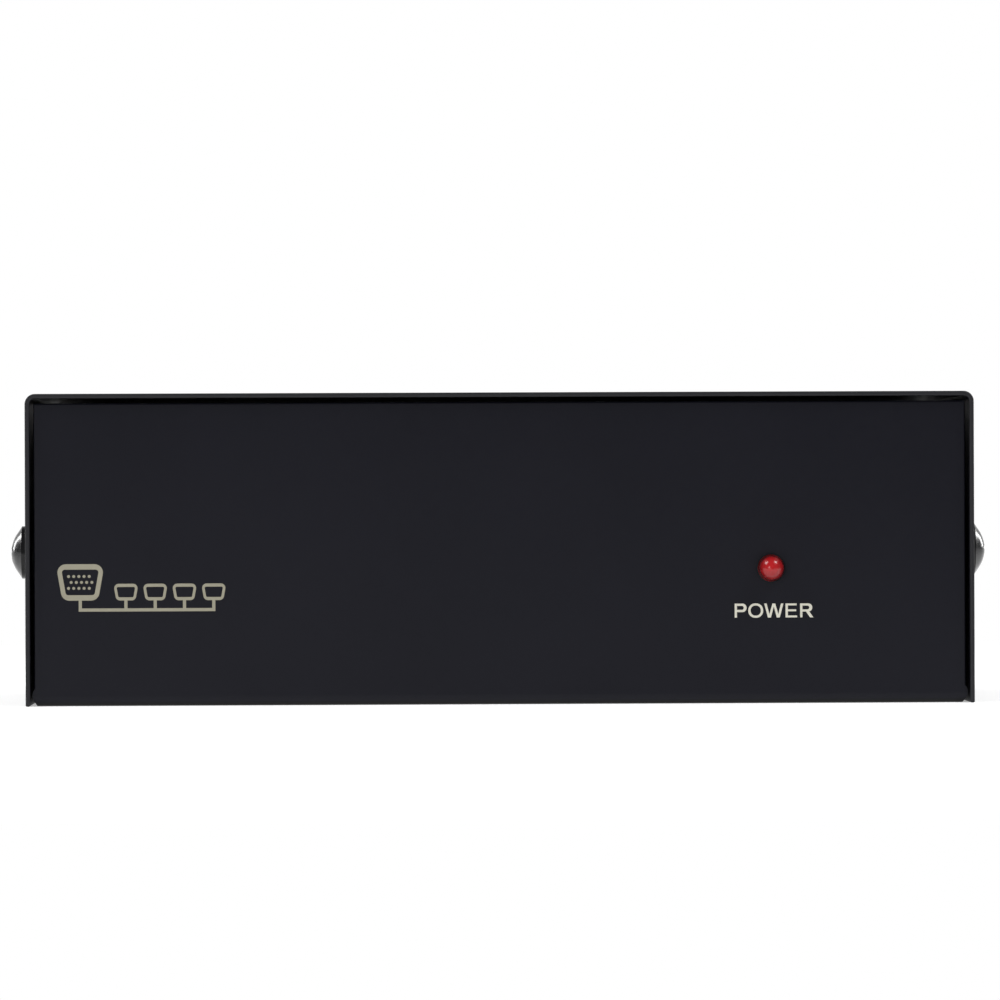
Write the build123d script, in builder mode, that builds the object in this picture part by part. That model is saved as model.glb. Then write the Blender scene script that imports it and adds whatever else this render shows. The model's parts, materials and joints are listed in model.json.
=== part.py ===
from build123d import *
from math import radians, sqrt, tan
import os

# Four-way VGA splitter: a folded steel case round one circuit board. Millimetres, +Z up.
# The front panel faces -Y and the ports face +Y. The origin is the middle of the face that the
# case stands on.

# Case, folded from painted steel sheet
CASE_WIDTH = 125.0
CASE_DEPTH = 68.0
CASE_HEIGHT = 41.1
SHEET = 0.6
BEND_RADIUS = 0.75  # inside of each fold
SIDE_GAP = 0.5  # between the front panel's edges and the cover's side walls
TOP_GAP = 0.65  # between the front panel's top edge and the cover
PANEL_RECESS = 0.8  # both panels behind the cover's edges
RIM_ROUND = 0.18  # paint-softened cut edges of the cover
EDGE_ROUND = 0.25  # and of the panels
BULGE_HEIGHT = 1.4  # where the tray's edges swell at the folds, above the bottom
BULGE_REACH = 0.25
EDGE_TUCK = 0.4  # how far the tray's edges draw in below the swelling
CUT_MARGIN = 1.0  # how far a cutting outline runs past the sheet

# Ears of the tray, which the cover screws hold
EAR_WIDTH = 12.0
EAR_ABOVE_SCREW = 5.5
EAR_RELIEF = 1.0  # slot beside each ear's fold
EAR_LAND = 2.0  # flat part of an ear beside its fold
EAR_BOSS_RADIUS = 3.2

# Cover screws, M3 with a washer face under the head
SCREW_HEIGHT = 20.2
SCREW_INSET = 10.0  # from the cover's front and rear edges
SCREW_PAST_EAR = 1.3  # end of each screw beyond its ear
THREAD_RADIUS = 1.5
THREAD_CLEARANCE = 0.05
SCREW_HOLE_CLEARANCE = 0.25
WASHER_FACE_RADIUS = 3.5
WASHER_EDGE_THICK = 0.85
WASHER_FACE_THICK = 1.35  # where the dome stands on it
SCREW_DOME_RADIUS = 2.75
SCREW_DOME_HEIGHT = 0.95
CROSS_SPAN = 3.0
CROSS_SLOT = 0.65
CROSS_DEPTH = 1.2
CROSS_TURNS = (24.0, 57.0, 72.0, 31.0)  # degrees, as the screws happened to stop

# Circuit board and its supports
BOARD_THICK = 1.6
BOARD_SIDE_GAP = 2.0  # from the ears' inner faces
BOARD_FRONT_GAP = 2.2  # from the front panel
BOARD_REAR_GAP = 1.6  # from the rear panel
STANDOFF_HEIGHT = 5.0
STANDOFF_RADIUS = 2.75
STANDOFF_STUB_RADIUS = 2.1
STANDOFF_INSET = 5.0  # from the board's side and front edges
REAR_STANDOFF_GAP = 4.2  # middle, in front of the chip capacitors
BOARD_SCREW_HEAD_RADIUS = 2.75
BOARD_SCREW_HEAD_HEIGHT = 1.8
BOARD_SCREW_HEAD_ROUND = 0.6
BOARD_SCREW_CROSS_DEPTH = 0.9
BOARD_SCREW_LENGTH = 5.0
TAIL_BELOW_BOARD = 1.4  # soldered ends under the board
HOLE_CLEARANCE = 0.15  # round each soldered tail
CORNER_CLEARANCE = 0.075  # between a square tail's corners and its round hole

# Fifteen-way ports in three rows
D_LEAN = 10.0  # degrees, slope of the short sides
D_CORNER = 2.6
SOCKET_D_WIDTH = 16.33  # outside of an output's shell
SOCKET_D_HEIGHT = 7.9
PIN_D_WIDTH = 16.92  # inside of the input's shell
PIN_D_HEIGHT = 8.36
SHELL_WALL = 0.4
SHELL_REACH = 5.9  # from the flange's front face
SHELL_EDGE_ROUND = 0.15
FLANGE_WIDTH = 30.81
FLANGE_HEIGHT = 12.5
FLANGE_CORNER = 1.2
FLANGE_THICK = 0.8
CUTOUT_CLEARANCE = 0.4
INSULATOR_CLEARANCE = 0.05
INSULATOR_SHY = 0.2  # output insulator behind its shell's edge
INSULATOR_FLOOR = 0.6  # input insulator's face, in front of the flange
INSULATOR_BACK = 2.5  # thickness behind the flange
INSULATOR_BACK_WIDTH = 19.0
INSULATOR_BACK_HEIGHT = 9.6
CONTACT_PITCH = 2.29
ROW_PITCH = 1.98
CONTACT_COUNT = 5  # in a row
ROW_COUNT = 3
CONTACT_RADIUS = 0.55
CONTACT_BORE = 0.38
CONTACT_BORE_DEPTH = 4.0
CONTACT_SHY = 0.5  # behind the insulator's face
CONTACT_CLEARANCE = 0.05
ENTRY_CHAMFER = 0.2
PIN_RADIUS = 0.38
PIN_TIP_ROUND = 0.3
PIN_SHY = 0.6  # pin tips behind the input shell's edge
TAIL_WIDTH = 0.6
TAIL_PITCH = 2.54
FIRST_TAIL_GAP = 1.7  # from the insulator's back to the first row of tails
LOWER_PORT_HEIGHT = 6.5  # centre above the board
PORT_SPACING = 15.88  # lower to upper centre
COLUMN_COUNT = 3

# Jackscrews and the nuts on the flanges, number 4 thread
JACKSCREW_SPACING = 24.99
JACKSCREW_HEX = 4.75  # across flats
JACKSCREW_LENGTH = 5.0
JACKSCREW_CHAMFER = 0.35
JACKSCREW_BORE_RADIUS = 1.2
JACKSCREW_BORE_DEPTH = 4.5
STUD_RADIUS = 1.42
STUD_LENGTH = 4.2
STUD_CLEARANCE = 0.2
NUT_RADIUS = 2.5
NUT_LENGTH = 3.2
NUT_CLEARANCE = 0.1

# Black bodies behind the ports
BODY_COMB_THICK = 1.5
BODY_ROOF = 1.2
BODY_BEHIND_TAILS = 1.2
BODY_BAY_CLEARANCE = 0.3
LOCK_WIDTH = 2.0
LOCK_THICK = 0.5
LOCK_ABOVE_BOARD = 6.0
LOCK_FROM_FLANGE = 4.0

# Power inlet
INLET_WIDTH = 9.0
INLET_HEIGHT = 11.0
INLET_DEPTH = 13.6
INLET_AXIS_HEIGHT = 6.5  # above the board
INLET_NOSE_RADIUS = 4.0
INLET_NOSE_PROUD = 0.5  # beyond the rear panel
INLET_HOLE_CLEARANCE = 0.2
INLET_BORE_RADIUS = 3.2
INLET_BORE_DEPTH = 9.6
INLET_MOUTH_CHAMFER = 0.4
INLET_PIN_RADIUS = 1.0
INLET_SHANK_RADIUS = 1.4  # of the pin, where the housing holds it
INLET_PIN_SHY = 0.7  # tip behind the nose
INLET_PIN_ROUND = 0.5
INLET_PIN_CLEARANCE = 0.03
INLET_STRIP_WIDTH = 2.4
INLET_STRIP_THICK = 0.4
INLET_LUG_THICK = 0.8
INLET_SLOT_CLEARANCE = 0.3
INLET_FRONT_WALL = 0.5  # plastic in front of the slot

# Sprung leaf of the inlet, measured from the board's top and the slot's blind end
LEAF_FOOT = (1.0, 1.2)
LEAF_CREST = (5.8, 4.0)
LEAF_TOE = (7.3, 2.3)
LEAF_TIP = (7.9, 2.3)
LEAF_REST_GAP = 0.2  # tip below the switch contact
LEAF_FOOT_GAP = 0.3  # foot in front of its terminal
LEAF_END_GAP = 0.4  # tip behind the switch contact's upright
SLOT_LOW_HEIGHT = 2.6  # of the slot behind the bore's floor

# Lamp, a red light-emitting diode seen through the front panel
LAMP_X = 35.7
LAMP_HEIGHT = 17.82
LAMP_RADIUS = 1.63
LAMP_CLEARANCE = 0.15
LAMP_PROUD = 2.8  # beyond the front panel
LAMP_FLANGE_RADIUS = 1.95
LAMP_FLANGE_THICK = 1.0
LAMP_LEAD_SPACING = 2.54
LAMP_LEAD_WIDTH = 0.5
LAMP_LEAD_CLEARANCE = 0.1
LAMP_HOLDER_WIDTH = 5.2
LAMP_HOLDER_DEPTH = 4.4
LAMP_HOLDER_ABOVE = 2.6

# Small-outline chips
CHIP_WIDTH = 3.9
CHIP_THICK = 1.4
CHIP_LIFT = 0.1
CHIP_LEAD_PITCH = 1.27
CHIP_LEAD_WIDTH = 0.42
CHIP_LEAD_THICK = 0.2
CHIP_LEAD_SPAN = 6.0
CHIP_LEAD_SHOULDER = 0.4
CHIP_LEAD_FOOT = 0.5
CHIP_BEVEL = 0.3
CHIP_MARK_RADIUS = 0.35
CHIP_MARK_DEPTH = 0.1
CHIP_MARK_INSET = 0.9
AMP_LEAD_COUNT = 4  # a side
AMP_LENGTH = 4.9
AMP_OFFSET = 7.0  # each side of its column's middle
AMP_GAP = 5.5  # from the output bodies to the amplifiers' middles
BUFFER_LEAD_COUNT = 7  # a side
BUFFER_LENGTH = 8.65

# Other components on the board
REGULATOR_SIZE = 6.5
REGULATOR_THICK = 2.3
REGULATOR_TAB_THICK = 0.5
REGULATOR_TAB_REACH = 1.0
REGULATOR_TAB_WIDTH = 5.3
REGULATOR_LEG_HEIGHT = 1.2
REGULATOR_LEG_SHOULDER = 0.9
REGULATOR_LEG_FOOT = 1.3
REGULATOR_LEG_REACH = 2.7
REGULATOR_LEG_WIDTH = 0.8
REGULATOR_LEG_SPACING = 4.6
REGULATOR_FROM_INLET = 7.5
CAPACITOR_RADIUS = 4.0
CAPACITOR_HEIGHT = 11.5
CAPACITOR_SLEEVE = 0.15
CAPACITOR_SLEEVE_GAP = 0.02
CAPACITOR_SLEEVE_LIFT = 0.3
CAPACITOR_RIM_ROUND = 0.5
CAPACITOR_VENT_WIDTH = 0.3
CAPACITOR_VENT_DEPTH = 0.2
CAPACITOR_LEAD_RADIUS = 0.3
CAPACITOR_LEAD_SPACING = 3.5
CAPACITOR_COUNT = 3
CAPACITOR_PITCH = 12.0
CAPACITOR_FROM_FRONT = 17.0
DIODE_LENGTH = 4.6
DIODE_WIDTH = 2.6
DIODE_THICK = 2.2
DIODE_BEVEL = 0.4
CHIP_PART_LENGTH = 2.0
CHIP_PART_WIDTH = 1.25
RESISTOR_THICK = 0.55
RESISTOR_COUNT = 3  # beside each amplifier
CHIP_CAPACITOR_THICK = 1.0
CHIP_CAPACITOR_COUNT = 2  # beside each amplifier
CHIP_PART_PITCH = 2.5
RESISTOR_GAP = 11.2  # from the output bodies
CHIP_CAPACITOR_GAP = 14.6

# Places worked out from the sizes above
COVER_FACE = CASE_WIDTH / 2
COVER_INNER = COVER_FACE - SHEET
PANEL_EDGE = COVER_INNER - SIDE_GAP
PANEL_TOP = CASE_HEIGHT - SHEET - TOP_GAP
PANEL_OUT = CASE_DEPTH / 2 - PANEL_RECESS
PANEL_IN = PANEL_OUT - SHEET
OUTER_BEND = BEND_RADIUS + SHEET
EAR_FACE = PANEL_EDGE
EAR_INNER = EAR_FACE - SHEET
EAR_FOLD_LAND = OUTER_BEND + EAR_LAND
SCREW_Y = CASE_DEPTH / 2 - SCREW_INSET
SCREW_HOLE_RADIUS = THREAD_RADIUS + SCREW_HOLE_CLEARANCE
SCREW_LENGTH = COVER_FACE - EAR_INNER + SCREW_PAST_EAR
SHANK_RADIUS = THREAD_RADIUS - THREAD_CLEARANCE

BOARD_BOTTOM = SHEET + STANDOFF_HEIGHT
BOARD_TOP = BOARD_BOTTOM + BOARD_THICK
BOARD_HALF = EAR_INNER - BOARD_SIDE_GAP
BOARD_FRONT = -PANEL_IN + BOARD_FRONT_GAP
BOARD_REAR = PANEL_IN - BOARD_REAR_GAP
TAIL_FOOT = BOARD_BOTTOM - TAIL_BELOW_BOARD
TAIL_HOLE_RADIUS = TAIL_WIDTH / sqrt(2) + CORNER_CLEARANCE
LAMP_HOLE_RADIUS = LAMP_LEAD_WIDTH / sqrt(2) + CORNER_CLEARANCE

FLANGE_BACK = PANEL_IN - FLANGE_THICK
INSULATOR_REAR = FLANGE_BACK - INSULATOR_BACK
FIRST_TAIL_Y = INSULATOR_REAR - FIRST_TAIL_GAP
LOWER_Z = BOARD_TOP + LOWER_PORT_HEIGHT
UPPER_Z = LOWER_Z + PORT_SPACING
ROW_SHIFT = CONTACT_PITCH / 4
STACK_REAR = FIRST_TAIL_Y - (2 * ROW_COUNT - 1) * TAIL_PITCH - BODY_BEHIND_TAILS

# The three columns of ports and the inlet share the free width of the rear panel evenly
REAR_FREE = 2 * EAR_INNER - COLUMN_COUNT * FLANGE_WIDTH - INLET_WIDTH
REAR_SPACE = REAR_FREE / (COLUMN_COUNT + 2)
COLUMN_B_X = -EAR_INNER + REAR_SPACE + FLANGE_WIDTH / 2
COLUMN_A_X = COLUMN_B_X + FLANGE_WIDTH + REAR_SPACE
INPUT_X = COLUMN_A_X + FLANGE_WIDTH + REAR_SPACE
INLET_X = INPUT_X + FLANGE_WIDTH / 2 + REAR_SPACE + INLET_WIDTH / 2

INLET_Z = BOARD_TOP + INLET_AXIS_HEIGHT
INLET_REAR = PANEL_IN - INLET_DEPTH
NOSE_FACE = PANEL_OUT + INLET_NOSE_PROUD
BORE_FLOOR = NOSE_FACE - INLET_BORE_DEPTH
SLOT_HALF = INLET_STRIP_WIDTH / 2 + INLET_SLOT_CLEARANCE
SLOT_FRONT = PANEL_IN - INLET_FRONT_WALL
SLOT_REAR = BORE_FLOOR - LEAF_FOOT[0]
LEAF_POINTS = [
    (SLOT_REAR + dy, BOARD_TOP + dz) for dy, dz in (LEAF_FOOT, LEAF_CREST, LEAF_TOE, LEAF_TIP)
]
TERMINAL_Y = LEAF_POINTS[0][0] - LEAF_FOOT_GAP - INLET_STRIP_THICK / 2
SWITCH_Y = LEAF_POINTS[3][0] + LEAF_END_GAP + INLET_STRIP_THICK / 2
SWITCH_Z = LEAF_POINTS[3][1] + LEAF_REST_GAP + INLET_STRIP_THICK
INLET_LUG_Y = INLET_REAR - INLET_LUG_THICK / 2

LAMP_BASE = -PANEL_IN + LAMP_FLANGE_THICK
LAMP_LEAD_Y = LAMP_BASE + LAMP_HOLDER_DEPTH + LAMP_LEAD_WIDTH

STANDOFF_X = BOARD_HALF - STANDOFF_INSET
STANDOFF_FRONT = BOARD_FRONT + STANDOFF_INSET
AMP_Y = STACK_REAR - AMP_GAP
AMP_X = [
    COLUMN_A_X - AMP_OFFSET,
    COLUMN_A_X + AMP_OFFSET,
    COLUMN_B_X - AMP_OFFSET,
    COLUMN_B_X + AMP_OFFSET,
]
REGULATOR_X = INLET_X - REGULATOR_FROM_INLET
DIODE_Y = AMP_Y - REGULATOR_SIZE / 2 - REGULATOR_LEG_REACH - DIODE_WIDTH
RESISTOR_Y = STACK_REAR - RESISTOR_GAP
CHIP_CAPACITOR_Y = STACK_REAR - CHIP_CAPACITOR_GAP
STANDOFF_REAR = CHIP_CAPACITOR_Y - CHIP_PART_LENGTH / 2 - REAR_STANDOFF_GAP
CAPACITOR_Y = BOARD_FRONT + CAPACITOR_FROM_FRONT

# Name, middle, height and whether it has sockets, for each port
PORTS = [
    ("out1", COLUMN_A_X, UPPER_Z, True),
    ("out2", COLUMN_A_X, LOWER_Z, True),
    ("out3", COLUMN_B_X, UPPER_Z, True),
    ("out4", COLUMN_B_X, LOWER_Z, True),
    ("in", INPUT_X, LOWER_Z, False),
]
COLUMNS = [
    ("stack_body_a", COLUMN_A_X, [LOWER_Z, UPPER_Z]),
    ("stack_body_b", COLUMN_B_X, [LOWER_Z, UPPER_Z]),
    ("in_body", INPUT_X, [LOWER_Z]),
]


def spaced(middle, count, pitch):
    """Middles of count things that stand evenly on both sides of a middle."""
    return [middle + (i - (count - 1) / 2) * pitch for i in range(count)]


def facing_rear(x, y, z):
    """Plane at a point of a rear-facing face; its x runs to the right of someone who faces it."""
    return Plane(origin=(x, y, z), x_dir=(-1, 0, 0), z_dir=(0, 1, 0))


def d_face(width, height, grow=0.0):
    """D-shaped face, long side up, centred, with its whole outline moved outwards by grow."""
    lean = height * tan(radians(D_LEAN))
    with BuildSketch() as face:
        with BuildLine():
            Polyline(
                (-width / 2, height / 2),
                (width / 2, height / 2),
                (width / 2 - lean, -height / 2),
                (-width / 2 + lean, -height / 2),
                close=True,
            )
        make_face()
        fillet(face.vertices(), D_CORNER)
        if grow:
            offset(amount=grow)
    return face.sketch


def port_outline(sockets, grow=0.0):
    """D-shaped face of a port shell's inside, grown by grow."""
    if sockets:
        return d_face(SOCKET_D_WIDTH, SOCKET_D_HEIGHT, grow - SHELL_WALL)
    return d_face(PIN_D_WIDTH, PIN_D_HEIGHT, grow)


def row_places(row, sockets):
    """Offsets of one row's contacts to the right of the port's middle, for someone who faces it."""
    side = 1 if sockets else -1
    shift = side * ROW_SHIFT * (1 if row == 1 else -1)
    return spaced(shift, CONTACT_COUNT, CONTACT_PITCH)


def contact_places(sockets):
    """Offsets of all of one port's contacts, for someone who faces it."""
    return [
        (dx, (1 - row) * ROW_PITCH) for row in range(ROW_COUNT) for dx in row_places(row, sockets)
    ]


def tail_y(row, upper):
    """Place of a row's tails. The bottom row turns down first, and an upper port's rows come after."""
    step = ROW_COUNT - 1 - row + (ROW_COUNT if upper else 0)
    return FIRST_TAIL_Y - step * TAIL_PITCH


def tail_places(x, z, sockets):
    """Where one port's tails go through the board."""
    upper = z > LOWER_Z
    return [
        (x - offset_x, tail_y(row, upper))
        for row in range(ROW_COUNT)
        for offset_x in row_places(row, sockets)
    ]


def lock_places():
    """Middle of each board lock, flat against the outer side of a port body's cheek."""
    reach = FLANGE_WIDTH / 2 + LOCK_THICK / 2
    lock_y = FLANGE_BACK - LOCK_FROM_FLANGE
    return [(x + side * reach, lock_y) for _, x, _ in COLUMNS for side in (-1, 1)]


def jackscrew_places():
    """Middle of each jackscrew, across and up."""
    return [
        (x + side * JACKSCREW_SPACING / 2, z) for _, x, z, _ in PORTS for side in (-1, 1)
    ]


D_INSIDE = {kind: port_outline(kind) for kind in (True, False)}
D_OUTSIDE = {kind: port_outline(kind, SHELL_WALL) for kind in (True, False)}
D_CUTOUT = {kind: port_outline(kind, SHELL_WALL + CUTOUT_CLEARANCE) for kind in (True, False)}
D_PLUG = {kind: port_outline(kind, -INSULATOR_CLEARANCE) for kind in (True, False)}

os.makedirs("parts", exist_ok=True)


# Case

with BuildPart() as base_tray:
    # Front, bottom and rear from one sheet
    with BuildSketch(Plane.YZ) as fold:
        Rectangle(2 * PANEL_OUT, PANEL_TOP, align=(Align.CENTER, Align.MIN))
        fillet(fold.vertices().group_by(Axis.Y)[0], OUTER_BEND)
        with Locations((0, SHEET)):
            Rectangle(
                2 * PANEL_IN, PANEL_TOP - SHEET, align=(Align.CENTER, Align.MIN), mode=Mode.SUBTRACT
            )
        fillet(fold.vertices().group_by(Axis.Y)[1], BEND_RADIUS)
    extrude(amount=PANEL_EDGE + BULGE_REACH, both=True)
    # Side edges, straight down to the swelling beside the folds
    with BuildSketch(Plane.XZ):
        with BuildLine():
            edge_top = (PANEL_EDGE, PANEL_TOP + CUT_MARGIN)
            swell_top = (PANEL_EDGE, BULGE_HEIGHT + BEND_RADIUS)
            swell_low = (PANEL_EDGE, BULGE_HEIGHT - BEND_RADIUS)
            tuck = (PANEL_EDGE - EDGE_TUCK, 0)
            Line(edge_top, swell_top)
            ThreePointArc(swell_top, (PANEL_EDGE + BULGE_REACH, BULGE_HEIGHT), swell_low)
            Polyline(
                swell_low,
                tuck,
                (PANEL_EDGE - EDGE_TUCK, -CUT_MARGIN),
                (PANEL_EDGE + CUT_MARGIN, -CUT_MARGIN),
                (PANEL_EDGE + CUT_MARGIN, PANEL_TOP + CUT_MARGIN),
                edge_top,
            )
        make_face()
        mirror(about=Plane.YZ)
    extrude(amount=PANEL_OUT, both=True, mode=Mode.SUBTRACT)
    # Room for the ears' folds
    with BuildSketch(Plane.XY):
        for side in (-1, 1):
            with Locations((side * EAR_FACE, SCREW_Y), (side * EAR_FACE, -SCREW_Y)):
                Rectangle(2 * EAR_FOLD_LAND, EAR_WIDTH + 2 * EAR_RELIEF)
    extrude(amount=SHEET, mode=Mode.SUBTRACT)
    # Ears
    with BuildSketch(*[Plane.XZ.offset(y) for y in (-SCREW_Y, SCREW_Y)]) as ears:
        with BuildLine():
            Polyline(
                (EAR_FACE - EAR_FOLD_LAND, 0),
                (EAR_FACE, 0),
                (EAR_FACE, SCREW_HEIGHT + EAR_ABOVE_SCREW),
                (EAR_INNER, SCREW_HEIGHT + EAR_ABOVE_SCREW),
                (EAR_INNER, SHEET),
                (EAR_FACE - EAR_FOLD_LAND, SHEET),
                close=True,
            )
        make_face()
        fillet(ears.vertices().group_by(Axis.Y)[0].sort_by(Axis.X)[-1], OUTER_BEND)
        fillet(ears.vertices().group_by(Axis.Y)[1].sort_by(Axis.X)[-1], BEND_RADIUS)
        mirror(about=Plane.YZ)
    extrude(amount=EAR_WIDTH / 2, both=True)
    # Bosses that meet the cover, and their threads
    with BuildSketch(Plane.YZ.offset(EAR_FACE), Plane.YZ.offset(-COVER_INNER)):
        with Locations((-SCREW_Y, SCREW_HEIGHT), (SCREW_Y, SCREW_HEIGHT)):
            Circle(EAR_BOSS_RADIUS)
    extrude(amount=SIDE_GAP)
    with BuildSketch(Plane.YZ):
        with Locations((-SCREW_Y, SCREW_HEIGHT), (SCREW_Y, SCREW_HEIGHT)):
            Circle(THREAD_RADIUS)
    extrude(amount=COVER_INNER, both=True, mode=Mode.SUBTRACT)
    # Lamp hole
    with BuildSketch(Plane.XZ.offset(PANEL_OUT)):
        with Locations((LAMP_X, LAMP_HEIGHT)):
            Circle(LAMP_RADIUS + LAMP_CLEARANCE)
    extrude(amount=-SHEET, mode=Mode.SUBTRACT)
    # Port, jackscrew and inlet holes
    with BuildSketch(facing_rear(0, PANEL_OUT, 0)):
        for _, x, z, sockets in PORTS:
            with Locations((-x, z)):
                add(D_CUTOUT[sockets])
        with Locations([(-x, z) for x, z in jackscrew_places()]):
            Circle(STUD_RADIUS + STUD_CLEARANCE)
        with Locations((-INLET_X, INLET_Z)):
            Circle(INLET_NOSE_RADIUS + INLET_HOLE_CLEARANCE)
    extrude(amount=-SHEET, mode=Mode.SUBTRACT)
    # Standoff holes
    with BuildSketch(Plane.XY):
        for y in (STANDOFF_FRONT, STANDOFF_REAR):
            with Locations((-STANDOFF_X, y), (STANDOFF_X, y)):
                Circle(STANDOFF_STUB_RADIUS)
    extrude(amount=SHEET, mode=Mode.SUBTRACT)
    # Paint-softened edges of the panels' outer faces
    panel_edges = [
        edge
        for panel in (base_tray.faces().sort_by(Axis.Y)[0], base_tray.faces().sort_by(Axis.Y)[-1])
        for edge in panel.outer_wire().edges().filter_by(GeomType.LINE)
        if edge.center().Z > BULGE_HEIGHT + BEND_RADIUS
    ]
    fillet(panel_edges, EDGE_ROUND)
base_tray.part.label = "base_tray"
export_step(base_tray.part, "parts/base_tray.step")

with BuildPart() as top_cover:
    with BuildSketch(Plane.XZ) as hood:
        Rectangle(CASE_WIDTH, CASE_HEIGHT, align=(Align.CENTER, Align.MIN))
        fillet(hood.vertices().group_by(Axis.Y)[-1], OUTER_BEND)
        Rectangle(
            2 * COVER_INNER, CASE_HEIGHT - SHEET, align=(Align.CENTER, Align.MIN), mode=Mode.SUBTRACT
        )
        inner_corners = hood.vertices().group_by(Axis.Y)[-2]
        fillet(inner_corners, BEND_RADIUS)
    extrude(amount=CASE_DEPTH / 2, both=True)
    with BuildSketch(Plane.YZ):
        with Locations((-SCREW_Y, SCREW_HEIGHT), (SCREW_Y, SCREW_HEIGHT)):
            Circle(SCREW_HOLE_RADIUS)
    extrude(amount=COVER_FACE, both=True, mode=Mode.SUBTRACT)
    rims = top_cover.faces().sort_by(Axis.Y)
    feet = top_cover.faces().group_by(Axis.Z)[0]
    fillet(rims[0].edges() + rims[-1].edges() + feet.edges(), RIM_ROUND)
top_cover.part.label = "top_cover"
export_step(top_cover.part, "parts/top_cover.step")

with BuildPart() as cover_screws:
    # Each screw is turned about its own axis, from the shank's end to the dome
    screw_places = [(side, y) for side in (-1, 1) for y in (-SCREW_Y, SCREW_Y)]
    for side, y in screw_places:
        axis_plane = Plane(
            origin=(side * COVER_FACE, y, SCREW_HEIGHT), x_dir=(0, 0, 1), z_dir=(0, side, 0)
        )
        with BuildSketch(axis_plane) as half:
            with BuildLine():
                dome_foot = (SCREW_DOME_RADIUS, WASHER_FACE_THICK)
                dome_top = (0, WASHER_FACE_THICK + SCREW_DOME_HEIGHT)
                Polyline(
                    dome_top,
                    (0, -SCREW_LENGTH),
                    (SHANK_RADIUS, -SCREW_LENGTH),
                    (SHANK_RADIUS, 0),
                    (WASHER_FACE_RADIUS, 0),
                    (WASHER_FACE_RADIUS, WASHER_EDGE_THICK),
                    dome_foot,
                )
                dome_ball = (SCREW_DOME_RADIUS**2 + SCREW_DOME_HEIGHT**2) / (2 * SCREW_DOME_HEIGHT)
                RadiusArc(dome_foot, dome_top, -dome_ball)
            make_face()
        revolve(axis=Axis((0, y, SCREW_HEIGHT), (1, 0, 0)))
    # Cross recesses
    head_top = COVER_FACE + WASHER_FACE_THICK + SCREW_DOME_HEIGHT
    for (side, y), turn in zip(screw_places, CROSS_TURNS):
        with BuildSketch(Plane(origin=(side * head_top, y, SCREW_HEIGHT), z_dir=(side, 0, 0))):
            Rectangle(CROSS_SPAN, CROSS_SLOT, rotation=turn)
            Rectangle(CROSS_SLOT, CROSS_SPAN, rotation=turn)
        extrude(amount=-CROSS_DEPTH, mode=Mode.SUBTRACT)
cover_screws.part.label = "cover_screws"
export_step(cover_screws.part, "parts/cover_screws.step")


# Board and what holds it

STANDOFF_PLACES = [
    (side * STANDOFF_X, y) for side in (-1, 1) for y in (STANDOFF_FRONT, STANDOFF_REAR)
]

with BuildPart() as board_standoffs:
    with BuildSketch(Plane.XY):
        with Locations(STANDOFF_PLACES):
            Circle(STANDOFF_STUB_RADIUS)
    extrude(amount=SHEET)
    with BuildSketch(Plane.XY.offset(SHEET)):
        with Locations(STANDOFF_PLACES):
            Circle(STANDOFF_RADIUS)
    extrude(amount=STANDOFF_HEIGHT)
    with BuildSketch(Plane.XY.offset(BOARD_BOTTOM)):
        with Locations(STANDOFF_PLACES):
            Circle(THREAD_RADIUS)
    extrude(amount=-STANDOFF_HEIGHT, mode=Mode.SUBTRACT)
board_standoffs.part.label = "board_standoffs"
export_step(board_standoffs.part, "parts/board_standoffs.step")

with BuildPart() as board_screws:
    with BuildSketch(Plane.XY.offset(BOARD_TOP)):
        with Locations(STANDOFF_PLACES):
            Circle(BOARD_SCREW_HEAD_RADIUS)
    extrude(amount=BOARD_SCREW_HEAD_HEIGHT)
    fillet(board_screws.edges().group_by(Axis.Z)[-1], BOARD_SCREW_HEAD_ROUND)
    with BuildSketch(Plane.XY.offset(BOARD_TOP + BOARD_SCREW_HEAD_HEIGHT)):
        with Locations(STANDOFF_PLACES):
            Rectangle(CROSS_SPAN, CROSS_SLOT)
            Rectangle(CROSS_SLOT, CROSS_SPAN)
    extrude(amount=-BOARD_SCREW_CROSS_DEPTH, mode=Mode.SUBTRACT)
    with BuildSketch(Plane.XY.offset(BOARD_TOP)):
        with Locations(STANDOFF_PLACES):
            Circle(SHANK_RADIUS)
    extrude(amount=-BOARD_SCREW_LENGTH)
board_screws.part.label = "board_screws"
export_step(board_screws.part, "parts/board_screws.step")


# Ports

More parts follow.
